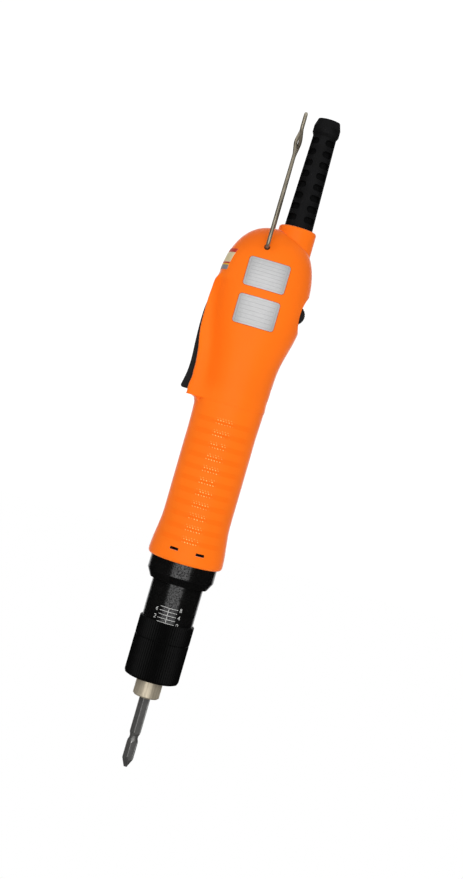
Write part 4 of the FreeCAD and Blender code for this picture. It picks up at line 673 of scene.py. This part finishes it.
@dataclass(frozen=True)
class KnurledBlack(Finish):
    """Black knurled metal, a little paler where hands rub the ridges; sizes in millimetres."""

    gloss: float = 0.07
    ridge_edge: Point2 = (13.19, 13.4)
    ridge_share: float = 0.5
    ridge_pale: float = 3.2
    ridge_polish: float = 0.1
    rub_scale: float = 0.3
    rub_span: Point2 = (0.35, 0.75)
    rub_spread: float = 0.12
    grain_scale: float = 5.0
    grain_bump: Point2 = (0.01, 0.5)

    def make(self, r: Recipe) -> bpy.types.Material:
        """Builds the knurl's material.

        Args:
            r: An empty recipe.

        Returns:
            The material.
        """
        x, y, _ = r.place()
        rub = r.noise(self.rub_scale, Layers.FULL)
        ridge = x.length(y).rise(*self.ridge_edge) * rub.rise(*self.rub_span)
        return r.finish({
            "Base Color": r.blend(ridge * self.ridge_share, self.colour, toned(self.colour, self.ridge_pale)),
            "Roughness": self.matt(rub, self.rub_spread) - ridge * self.ridge_polish,
            "Specular IOR Level": self.gloss,
            "Normal": r.bump(r.noise(self.grain_scale, Layers.SOFT), *self.grain_bump),
        })


@dataclass(frozen=True)
class BitSteel(Finish):
    """Dark hardened steel whose hexagon corners are paler, partly from rubbing and partly as a painted
    highlight; sizes in millimetres.
    """

    metal: float = 0.65
    sides: int = 6
    turn: float = math.radians(-8.0)
    corner_out: Point2 = (2.62, 2.77)
    corner_span: Point2 = (0.88, 0.985)
    corner_rub: Point2 = (0.2, 0.5)
    corner_pale: float = 3.6
    corner_polish: float = 0.12
    rub_scale: float = 0.8
    rub_span: Point2 = (0.35, 0.8)
    rub_share: float = 0.5
    rub_pale: float = 1.35
    streak_scale: float = 3.0
    streak_squeeze: Point3 = (1.0, 1.0, 0.05)
    streak_spread: float = 0.16
    streak_bump: Point2 = (0.008, 0.7)

    def make(self, r: Recipe) -> bpy.types.Material:
        """Builds the bit's material.

        Args:
            r: An empty recipe.

        Returns:
            The material.
        """
        x, y, _ = r.place()
        streak = r.noise(self.streak_scale, Layers.FULL, self.streak_squeeze)
        rub = r.noise(self.rub_scale, Layers.RICH)
        corners = ((y.angle(x) - self.turn) * self.sides).wave() * -1.0
        # Paler hexagon corners: partly wear, partly a painted highlight along them.
        corner_wear_and_highlight = corners.rise(*self.corner_span) * x.length(y).rise(*self.corner_out)
        corner_wear_and_highlight = corner_wear_and_highlight * rub.rise(*self.corner_rub)
        patches = rub.rise(*self.rub_span) * self.rub_share
        tone = r.blend(patches, self.colour, toned(self.colour, self.rub_pale))
        return r.finish({
            "Base Color": r.blend(corner_wear_and_highlight, tone, toned(self.colour, self.corner_pale)),
            "Metallic": self.metal,
            "Roughness": self.matt(streak, self.streak_spread) - corner_wear_and_highlight * self.corner_polish,
            "Normal": r.bump(streak, *self.streak_bump),
        })


@dataclass(frozen=True)
class ScrewSteel(Finish):
    """Zinc-plated screw steel with painted shade below its face, in the drive's recess; sizes in millimetres.
    """

    face_y: float = 0.0
    metal: float = 0.9
    sunk_edge: Point2 = (-0.1, -0.3)
    sunk_shade_share: float = 0.9
    sunk_rough: float = 0.3
    rub_scale: float = 1.6
    rub_span: Point2 = (0.35, 0.7)
    rub_dark: float = 0.75
    rub_spread: float = 0.2
    rub_bump: Point2 = (0.01, 0.6)

    def make(self, r: Recipe) -> bpy.types.Material:
        """Builds the screws' material.

        Args:
            r: An empty recipe.

        Returns:
            The material.
        """
        _, y, _ = r.place()
        rub = r.noise(self.rub_scale, Layers.FULL)
        sunk = (y - self.face_y).rise(*self.sunk_edge)
        tone = r.blend(rub.rise(*self.rub_span), toned(self.colour, self.rub_dark), self.colour)
        return r.finish({
            # Painted shade in the drive's recess.
            "Base Color": r.blend(sunk * self.sunk_shade_share, tone, BLACK),
            "Metallic": self.metal,
            "Roughness": self.matt(rub, self.rub_spread) + sunk * self.sunk_rough,
            "Normal": r.bump(rub, *self.rub_bump),
        })


@dataclass(frozen=True)
class DrawnWire(Finish):
    """Drawn steel wire with streaks along it."""

    metal: float = 1.0
    streak_scale: float = 2.4
    streak_squeeze: Point3 = (1.0, 1.0, 0.12)
    streak_spread: float = 0.2
    streak_bump: Point2 = (0.01, 0.7)
    cloud_scale: float = 0.18
    cloud_span: Point2 = (0.3, 0.7)
    cloud_dark: float = 0.55

    def make(self, r: Recipe) -> bpy.types.Material:
        """Builds the wire's material.

        Args:
            r: An empty recipe.

        Returns:
            The material.
        """
        streak = r.noise(self.streak_scale, Layers.FULL, self.streak_squeeze)
        cloud = r.noise(self.cloud_scale, Layers.FULL).rise(*self.cloud_span)
        return r.finish({
            "Base Color": r.blend(cloud, toned(self.colour, self.cloud_dark), self.colour),
            "Metallic": self.metal,
            "Roughness": self.matt(streak, self.streak_spread),
            "Normal": r.bump(streak, *self.streak_bump),
        })


@dataclass(frozen=True)
class LabelFilm(Finish):
    """Silver film with a printed border and empty ruled rows; sizes in millimetres."""

    middle: Point2 = (0.0, 0.0)
    half: Point2 = (9.8, 6.8)
    rows: int = 5
    ink: Colour = (0.16, 0.16, 0.17)
    inset: float = 0.95
    line_edge: Point2 = (0.11, 0.044)
    border_share: float = 0.45
    row_end: Point2 = (-0.7, -0.9)
    row_share: float = 0.6
    metal: float = 0.25
    ink_metal: float = 0.05
    brush_scale: float = 5.0
    brush_squeeze: Point3 = (0.05, 1.0, 1.0)
    brush_span: Point2 = (0.3, 0.7)
    brush_dark: float = 0.86
    brush_spread: float = 0.16
    brush_bump: Point2 = (0.004, 0.6)
    rub_scale: float = 0.3
    rub_span: Point2 = (0.2, 0.35)
    rub_spread: float = 0.1

    def inked(self, r: Recipe) -> Value:
        """The border and the rows.

        Args:
            r: The recipe that grows.

        Returns:
            How much ink there is.
        """
        x, _, z = r.place()
        up = z - self.middle[1]
        wide, tall = self.half[0] - self.inset, self.half[1] - self.inset
        edge = (abs(x - self.middle[0]) - wide).larger(abs(up) - tall)
        pitch = 2 * tall / (self.rows + 1)
        row = abs((up + tall + pitch / 2) % pitch - pitch / 2)
        border = abs(edge).rise(*self.line_edge)
        ruled = row.rise(*self.line_edge) * edge.rise(*self.row_end)
        return (border * self.border_share + ruled * self.row_share).smaller(1.0)

    def make(self, r: Recipe) -> bpy.types.Material:
        """Builds the label's material.

        Args:
            r: An empty recipe.

        Returns:
            The material.
        """
        brushed = r.noise(self.brush_scale, Layers.FULL, self.brush_squeeze)
        rub = r.noise(self.rub_scale, Layers.RICH)
        film = r.blend(brushed.rise(*self.brush_span), toned(self.colour, self.brush_dark), self.colour)
        printed = self.inked(r) * rub.rise(*self.rub_span)
        matt = self.matt(brushed, self.brush_spread)
        return r.finish({
            "Base Color": r.blend(printed, film, self.ink),
            "Metallic": self.metal - printed * (self.metal - self.ink_metal),
            "Roughness": matt + (rub - NOISE_MIDDLE) * self.rub_spread,
            "Normal": r.bump(brushed, *self.brush_bump),
        })


@dataclass(frozen=True)
class SealFilm(Finish):
    """A plain seal in bands of colour; sizes in millimetres."""

    tops: tuple[float, ...] = (144.2, 144.9, 145.7, 150.7)
    soft: float = 0.04
    red: Colour = (0.52, 0.035, 0.02)
    yellow: Colour = (0.75, 0.42, 0.02)
    grey: Colour = (0.22, 0.22, 0.23)
    worn: Colour = (0.7, 0.68, 0.62)
    rub_scale: float = 0.5
    rub_span: Point2 = (0.55, 0.85)
    rub_share: float = 0.25
    rub_spread: float = 0.2
    paper_scale: float = 6.0
    paper_bump: Point2 = (0.006, 0.5)

    def make(self, r: Recipe) -> bpy.types.Material:
        """Builds the seal's material.

        Args:
            r: An empty recipe.

        Returns:
            The material.
        """
        _, _, z = r.place()
        rub = r.noise(self.rub_scale, Layers.RICH)
        tone: Plug = self.grey
        for edge, above in zip(self.tops, (self.yellow, self.red, self.colour, self.red)):
            tone = r.blend(z.rise(edge - self.soft, edge + self.soft), tone, above)
        return r.finish({
            "Base Color": r.blend(rub.rise(*self.rub_span) * self.rub_share, tone, self.worn),
            "Roughness": self.matt(rub, self.rub_spread),
            "Normal": r.bump(r.noise(self.paper_scale, Layers.SOFT), *self.paper_bump),
        })


@dataclass(frozen=True)
class ScalePaint(Finish):
    """White paint of the scale, thin in places."""

    thin_scale: float = 1.8
    thin_span: Point2 = (0.3, 0.6)
    thin_dark: float = 0.6
    thin_spread: float = 0.2
    thin_bump: Point2 = (0.01, 0.5)

    def make(self, r: Recipe) -> bpy.types.Material:
        """Builds the paint's material.

        Args:
            r: An empty recipe.

        Returns:
            The material.
        """
        thin = r.noise(self.thin_scale, Layers.FULL)
        dark = toned(self.colour, self.thin_dark)
        return r.finish({
            "Base Color": r.blend(thin.rise(*self.thin_span), dark, self.colour),
            "Roughness": self.matt(thin, self.thin_spread),
            "Normal": r.bump(thin, *self.thin_bump),
        })


class Paint(Enum):
    """The finishes that the pieces wear: name, colour, roughness and what else sets them apart."""

    BLACK_PLASTIC = MouldedPlastic("black_plastic", (0.0045, 0.0045, 0.0047), 0.42, grain=2.4, gloss=0.1)
    RUBBER = BootRubber("boot_rubber", (0.0036, 0.0036, 0.0039), 0.66)
    SEAL = SealFilm("seal_film", (0.66, 0.55, 0.33), 0.45)
    BLACK_METAL = TurnedMetal(
        "black_metal", (0.0035, 0.0034, 0.0033), 0.2,
        metal=0.0, gloss=0.1, rings=5.0, ring_depth=0.003, grit=0.05, speckle=1.0,
    )
    KNURL = KnurledBlack("black_knurl", (0.002, 0.002, 0.002), 0.45)
    PLATED = TurnedMetal(
        "plated_metal", (0.56, 0.49, 0.37), 0.28,
        metal=0.55, rings=6.0, ring_depth=0.002, grit=0.03, streak=0.45,
    )
    BIT = BitSteel("bit_steel", (0.15, 0.148, 0.143), 0.4)
    WIRE = DrawnWire("hook_wire", (0.34, 0.3, 0.225), 0.38, metal=0.65)
    STEEL = TurnedMetal("machined_steel", (0.50, 0.50, 0.51), 0.34)
    BALL = TurnedMetal("bearing_steel", (0.72, 0.72, 0.74), 0.14, rings=3.0, ring_depth=0.001, grit=0.03)
    SPRING = DrawnWire("spring_steel", (0.36, 0.36, 0.37), 0.35)
    GEAR = TurnedMetal("gear_steel", (0.38, 0.38, 0.39), 0.4, rings=4.0, ring_depth=0.008)
    # Oiled steel darkened to near black as painted shade for the ring gear seen through the vents.
    SHADED_OILED = TurnedMetal(
        "shaded_oiled_steel", (0.02, 0.0195, 0.019), 0.45, metal=0.8, gloss=0.3, rings=4.0, ring_depth=0.008
    )
    CAN = TurnedMetal("motor_metal", (0.55, 0.55, 0.54), 0.38, rings=1.2, ring_depth=0.004, grit=0.1)
    MAGNET = MouldedPlastic("magnet", (0.07, 0.07, 0.075), 0.55, grain=3.5, gloss=0.4)
    CORE = TurnedMetal("core_iron", (0.26, 0.15, 0.09), 0.48, metal=0.7, rings=2.2, ring_depth=0.03)
    BRASS = TurnedMetal("contact_brass", (0.72, 0.49, 0.17), 0.28)
    INNER = MouldedPlastic("inner_plastic", (0.035, 0.035, 0.037), 0.48)
    BOARD = MouldedPlastic("board", (0.02, 0.16, 0.05), 0.35, grain=1.2, gloss=0.5)
    LEAD = MouldedPlastic("lead_sleeve", (0.36, 0.02, 0.02), 0.5)
    SCALE = ScalePaint("scale_paint", (0.78, 0.78, 0.76), 0.5)


def dress(nodes: Iterable[str], finish: Finish) -> None:
    """Gives CAD nodes a finish.

    Args:
        nodes: The nodes' names.
        finish: What they wear.
    """
    for node in nodes:
        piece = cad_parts[node]
        piece.data.materials.clear()
        piece.data.materials.append(finish.material())
        LOG.info("%s wears %s", node, finish.name)


def planets() -> list[str]:
    """The names of the six planet gears."""
    return [f"{stage}_planet_{k}" for stage in ("first", "second") for k in (1, 2, 3)]


@dataclass
class Body:
    """The shell, its labels, screws and boot."""

    label_rows: dict[str, int] = field(default_factory=lambda: {"upper_label": 6, "lower_label": 5})
    orange: Colour = (1.0, 0.176, 0.004)
    orange_rough: float = 0.5
    film: Colour = (0.46, 0.46, 0.463)
    film_rough: float = 0.38
    zinc: Colour = (0.42, 0.41, 0.38)
    zinc_rough: float = 0.36

    def plates(self) -> tuple[tuple[Point2, Point2], ...]:
        """The lowest and highest corner of each face label, in millimetres."""
        return tuple(tuple((spot.x / MM, spot.z / MM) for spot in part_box(node)) for node in self.label_rows)

    def dress(self) -> None:
        """Gives the shell and what is on it their finishes."""
        shell = OrangeShell("orange_shell", self.orange, self.orange_rough, plates=self.plates())
        dress(("front_housing", "rear_housing"), shell)
        screw_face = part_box("housing_screws")[1].y / MM
        dress(("housing_screws",), ScrewSteel("housing_screw", self.zinc, self.zinc_rough, screw_face))
        dress(("side_label",), Paint.SEAL.value)
        dress(("cord_boot", "inner_cord"), Paint.RUBBER.value)
        dress(("power_socket",), Paint.PLATED.value)
        dress(("socket_insulator",), Paint.INNER.value)
        dress(("socket_contacts",), Paint.BRASS.value)
        for (node, rows), ((left, foot), (right, top)) in zip(self.label_rows.items(), self.plates()):
            middle = ((left + right) / 2, (foot + top) / 2)
            half = ((right - left) / 2, (top - foot) / 2)
            dress((node,), LabelFilm(node, self.film, self.film_rough, middle, half, rows))


@dataclass
class Controls:
    """Lever, knob, switches and board."""

    def dress(self) -> None:
        """Gives the controls their finishes."""
        dress(("start_lever", "reverse_knob"), Paint.BLACK_PLASTIC.value)
        dress(("start_switch", "start_plunger", "reverse_switch", "board_plug"), Paint.INNER.value)
        dress(("lever_pin", "board_screws"), Paint.STEEL.value)
        dress(("circuit_board",), Paint.BOARD.value)
        dress(("motor_leads",), Paint.LEAD.value)


@dataclass
class Hanger:
    """The wire hook."""

    def dress(self) -> None:
        """Gives the hook its finish."""
        dress(("hang_hook",), Paint.WIRE.value)


@dataclass
class Nose:
    """Flange, barrel with its painted scale, and torque nut; sizes in millimetres."""

    barrel_radius: float = 12.5
    paint_lift: float = 0.03
    paint_sink: float = 0.02
    stroke: float = 0.17
    stroke_step: float = 0.5
    zero_z: float = -25.9
    mark_pitch: float = 1.83
    marks: int = 5
    mark_left: float = -4.85
    mark_right: float = 3.6
    digit_step: int = 2
    digit_height: float = 1.7
    digit_width: float = 1.15
    right_digit: float = 4.6
    left_digit: float = -7.1
    shapes: dict[str, list[Point2]] = field(default_factory=lambda: {
        "0": [(0.5, 0), (0.88, 0.22), (0.9, 0.75), (0.5, 1), (0.1, 0.75), (0.12, 0.22), (0.5, 0)],
        "2": [(0.1, 0.8), (0.35, 1), (0.7, 1), (0.9, 0.78), (0.8, 0.55), (0.08, 0), (0.92, 0)],
        "4": [(0.7, 0), (0.7, 1), (0.05, 0.3), (0.95, 0.3)],
        "6": [(0.82, 0.97), (0.4, 0.8), (0.12, 0.4), (0.2, 0.1), (0.5, 0), (0.8, 0.1), (0.88, 0.35),
              (0.7, 0.56), (0.4, 0.56), (0.13, 0.36)],
        "8": [(0.5, 0.52), (0.15, 0.74), (0.25, 0.96), (0.5, 1), (0.75, 0.96), (0.85, 0.74), (0.5, 0.52),
              (0.1, 0.26), (0.22, 0.04), (0.5, 0), (0.78, 0.04), (0.9, 0.26), (0.5, 0.52)],
    })

    def dress(self) -> None:
        """Gives the nose its finishes."""
        dress(("nose_flange", "scale_barrel"), Paint.BLACK_METAL.value)
        dress(("torque_nut",), Paint.KNURL.value)

    def strokes(self) -> list[list[Point2]]:
        """The scale as lines on the unrolled barrel.

        Returns:
            Lists of points, round the barrel and up it.
        """
        top = self.zero_z + (self.marks - 1) * self.mark_pitch
        middle = (self.mark_left + self.mark_right) / 2
        lines = [[(middle, self.zero_z), (middle, top)]]
        for k in range(self.marks):
            z = self.zero_z + k * self.mark_pitch
            lines.append([(self.mark_left, z), (self.mark_right, z)])
            start = self.right_digit if k % 2 == 0 else self.left_digit
            foot = z - self.digit_height / 2 + self.stroke
            lines.append([
                (start + self.digit_width * across, foot + self.digit_height * up)
                for across, up in self.shapes[str(self.digit_step * k)]
            ])
        return lines

    def on_barrel(self, spot: Point2, lift: float) -> Vector:
        """A point of the unrolled barrel in the row frame.

        Args:
            spot: Round the barrel from its front, and up it.
            lift: Above the barrel's skin.

        Returns:
            The point in metres.
        """
        turn = spot[0] / self.barrel_radius
        out = (self.barrel_radius + lift) * MM
        return Vector((out * math.sin(turn), -out * math.cos(turn), spot[1] * MM))

    def build(self) -> bpy.types.Object:
        """Makes the painted scale.

        Returns:
            The piece, riding on the housing.
        """
        form = bmesh.new()
        for line in self.strokes():
            for start, end in zip(line, line[1:]):
                self.ribbon(form, Vector(start), Vector(end))
        bmesh.ops.recalc_face_normals(form, faces=form.faces)
        return make_piece("scale_marks", form, "housing", Paint.SCALE.value)

    def ribbon(self, form: bmesh.types.BMesh, start: Vector, end: Vector) -> None:
        """Adds one closed stroke that follows the barrel's curve.

        Args:
            form: The mesh that grows.
            start: Where it starts on the unrolled barrel.
            end: Where it ends.
        """
        along = (end - start).normalized() * (self.stroke / 2)
        side = Vector((-along.y, along.x))
        start, end = start - along, end + along
        count = max(1, math.ceil((end - start).length / self.stroke_step))
        sink, rings = self.paint_sink, []
        for k in range(count + 1):
            spot = start.lerp(end, k / count)
            rings.append([
                form.verts.new(self.on_barrel(tuple(spot + s * side), lift))
                for s, lift in ((-1, -sink), (1, -sink), (1, self.paint_lift), (-1, self.paint_lift))
            ])
        for low, high in zip(rings, rings[1:]):
            for k in range(len(low)):
                form.faces.new((low[k], low[k - 1], high[k - 1], high[k]))
        form.faces.new(rings[0])
        form.faces.new(rings[-1][::-1])


def make_piece(
    name: str, form: bmesh.types.BMesh, body: str, finish: Finish
) -> bpy.types.Object:
    """Turns a mesh into a piece that rides on a body.

    Args:
        name: The piece's name.
        form: Its mesh, in the row frame.
        body: The body it moves with.
        finish: What it wears.

    Returns:
        The piece.
    """
    mesh = bpy.data.meshes.new(name)
    form.to_mesh(mesh)
    form.free()
    piece = bpy.data.objects.new(name, mesh)
    bpy.context.scene.collection.objects.link(piece)
    mesh.materials.append(finish.material())
    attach(piece, body)
    LOG.info("%s made with %d faces", name, len(mesh.polygons))
    return piece


@dataclass
class Chuck:
    """Sleeve, balls and bit."""

    def dress(self) -> None:
        """Gives the chuck its finishes."""
        dress(("chuck_sleeve", "sleeve_stop_ring"), Paint.PLATED.value)
        dress(("spindle",), Paint.STEEL.value)
        dress(("chuck_balls",), Paint.BALL.value)
        dress(("bit",), Paint.BIT.value)


@dataclass
class Drive:
    """Motor, gears and clutch."""

    def dress(self) -> None:
        """Gives the drive its finishes."""
        dress((
            "spring_seat", "thrust_washer", "clutch_plate", "clutch_driver", "output_bearing",
            "output_carrier", "first_carrier", "rotor_shaft", "motor_front_plate",
        ), Paint.STEEL.value)
        dress(("clutch_balls",), Paint.BALL.value)
        dress(("ring_gear",), Paint.SHADED_OILED.value)
        dress(planets(), Paint.GEAR.value)
        dress(("motor_can",), Paint.CAN.value)
        dress(("motor_magnets", "motor_brushes"), Paint.MAGNET.value)
        dress(("armature_core",), Paint.CORE.value)
        dress(("commutator",), Paint.BRASS.value)
        dress(("motor_end_bell",), Paint.INNER.value)


@dataclass(frozen=True)
class Squeeze:
    """How one spring shortens as its joint moves, in metres; its upper end stays."""

    node: str
    body: str
    joint: str
    along: Point3
    travel: float


@dataclass
class Springs:
    """The springs, each a coil copied from its node; how each would shorten with its joint is listed but not
    used here.
    """

    coils: tuple[Squeeze, ...] = (
        Squeeze("torque_spring", "housing", "torque_travel", (0.0, 0.0, 1.0), 0.0073),
        Squeeze("sleeve_spring", "output", "sleeve_slide", (0.0, 0.0, 1.0), 0.003),
        Squeeze("lever_spring", "housing", "lever_press", (1.0, 0.0, 0.0), 0.0009),
    )

    def dress(self) -> None:
        """Gives the springs their finish."""
        dress((coil.node for coil in self.coils), Paint.SPRING.value)

    def build(self) -> None:
        """Makes each spring as a piece that stands for its node."""
        for coil in self.coils:
            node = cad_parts[coil.node]
            form = bmesh.new()
            form.from_mesh(node.data)
            form.transform(node.matrix_world)
            piece = make_piece(f"{coil.node}_coil", form, coil.body, Paint.SPRING.value)
            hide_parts(coil.node)
            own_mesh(piece)


@dataclass(frozen=True)
class SoftBox:
    """One lamp: where it stands and its size in metres, its power in watts, and whether gloss shows it."""

    name: str
    place: Point3
    size: Point2
    power: float
    gloss: bool = False


@dataclass
class Studio:
    """Camera, soft light, white floor and backdrop; sizes in metres."""

    aim: Vector = field(default_factory=lambda: Vector((0.0054, 0.0, 0.0656)))
    distance: float = 0.70
    height_angle: float = math.radians(1.5)
    lens_mm: float = 60.0
    sensor_mm: float = 36.0
    clip_start: float = 0.01
    lamps: tuple[SoftBox, ...] = (
        SoftBox("front_box", (0.0, -1.0, 0.1), (1.1, 1.2), 6.2, gloss=True),
        SoftBox("left_box", (-1.1, -0.5, 0.5), (0.7, 1.0), 3.6),
        SoftBox("right_box", (1.1, -0.5, 0.5), (0.7, 1.0), 3.8),
        SoftBox("back_box", (0.0, 1.2, 0.5), (1.1, 1.0), 4.5),
    )
    ambient: float = 0.47
    backdrop: float = 1.06
    floor_gap: float = 0.3
    floor_half: float = 4.0
    floor_colour: Colour = (0.86, 0.86, 0.86)
    shadow_span_mm: Point2 = (450.0, 120.0)
    shadow_share: float = 0.14
    card_colour: Colour = (0.01, 0.01, 0.01)
    card_out: float = 0.62
    card_front: float = -1.0
    card_back: float = 0.9
    card_tall: float = 0.8
    card_drop: float = 0.22

    def camera(self) -> None:
        """Places the camera where the photograph was taken from."""
        ahead = Vector((0.0, math.cos(self.height_angle), -math.sin(self.height_angle)))
        right = Vector((math.cos(PHOTO_TILT), 0.0, math.sin(PHOTO_TILT)))
        right = (right - ahead * right.dot(ahead)).normalized()
        up = (-ahead).cross(right)
        data = bpy.data.cameras.new("camera")
        data.lens = self.lens_mm
        data.sensor_width = self.sensor_mm
        data.clip_start = self.clip_start
        camera = bpy.data.objects.new("camera", data)
        turn = Matrix((right, up, -ahead)).transposed().to_4x4()
        camera.matrix_world = Matrix.Translation(self.aim - ahead * self.distance) @ turn
        bpy.context.scene.collection.objects.link(camera)
        bpy.context.scene.camera = camera

    def light(self) -> None:
        """Sets up the soft boxes, which no camera ray sees."""
        for box in self.lamps:
            data = bpy.data.lights.new(box.name, "AREA")
            data.shape = "RECTANGLE"
            data.size, data.size_y = box.size
            data.energy = box.power
            lamp = bpy.data.objects.new(box.name, data)
            lamp.location = box.place
            lamp.visible_glossy = box.gloss
            lamp.visible_camera = False
            lamp.rotation_euler = (self.aim - lamp.location).to_track_quat("-Z", "Y").to_euler()
            bpy.context.scene.collection.objects.link(lamp)

    def sky(self) -> None:
        """Sets the world: a white backdrop that lights less than it shows."""
        r = Recipe(bpy.data.worlds.new("world"))
        strength = r.add("ShaderNodeMapRange", sockets={
            "Value": r.watched(), "To Min": self.ambient, "To Max": self.backdrop,
        })
        shader = r.add("ShaderNodeBackground", sockets={"Color": rgba(WHITE), "Strength": strength})
        bpy.context.scene.world = r.end(shader, "ShaderNodeOutputWorld")

    def flat(self, name: str, corners: Sequence[Point3], material: bpy.types.Material) -> bpy.types.Object:
        """Adds a flat sheet that isn't part of the tool.

        Args:
            name: The sheet's name.
            corners: Its corners in order.
            material: What it wears.

        Returns:
            The sheet.
        """
        mesh = bpy.data.meshes.new(name)
        mesh.from_pydata(list(corners), [], [tuple(range(len(corners)))])
        mesh.materials.append(material)
        sheet = bpy.data.objects.new(name, mesh)
        bpy.context.scene.collection.objects.link(sheet)
        return sheet

    def floor(self) -> None:
        """Lays the white floor, which keeps a soft shadow."""
        r = Recipe(bpy.data.materials.new("floor_white"))
        sheet = r.add("ShaderNodeBsdfDiffuse", sockets={"Color": rgba(self.floor_colour)})
        glow = r.add("ShaderNodeEmission", sockets={"Color": rgba(WHITE), "Strength": 1.0})
        x, y, _ = r.place()
        near = x.length(y).rise(*self.shadow_span_mm)
        share = r.watched() * (1 - near * self.shadow_share)
        material = r.end(r.add("ShaderNodeMixShader", sockets={0: share, 1: sheet, 2: glow}))
        z, half = CAD_BOX[0].z - self.floor_gap, self.floor_half
        self.flat("floor", [(-half, -half, z), (half, -half, z), (half, half, z), (-half, half, z)], material)

    def cards(self) -> None:
        """Puts a dark card at each side and one below, which only gloss shows."""
        r = Recipe(bpy.data.materials.new("card_black"))
        material = r.end(r.add("ShaderNodeBsdfDiffuse", sockets={"Color": rgba(self.card_colour)}))
        out, front, back, tall = self.card_out, self.card_front, self.card_back, self.card_tall
        low = CAD_BOX[0].z - self.card_drop
        for name, corners in {
            "card_left": [(-out, front, -tall), (-out, back, -tall), (-out, back, tall), (-out, front, tall)],
            "card_right": [(out, front, -tall), (out, back, -tall), (out, back, tall), (out, front, tall)],
            "card_under": [(-out, front, low), (out, front, low), (out, back, low), (-out, back, low)],
        }.items():
            card = self.flat(name, corners, material)
            for ray in ("camera", "diffuse", "shadow", "transmission"):
                setattr(card, f"visible_{ray}", False)

    def build(self) -> None:
        """Sets up camera, light, floor and cards."""
        self.camera()
        self.light()
        self.sky()
        self.floor()
        self.cards()
        bpy.context.scene.view_settings.view_transform = "Standard"


def main() -> None:
    """Builds and dresses the tool, then the studio round it."""
    logging.basicConfig(level=logging.INFO, format="%(message)s")
    nose, springs = Nose(), Springs()
    for group in (Body(), Controls(), Hanger(), nose, Chuck(), Drive(), springs):
        group.dress()
    nose.build()
    springs.build()
    Studio().build()


if __name__ == "__main__":
    main()
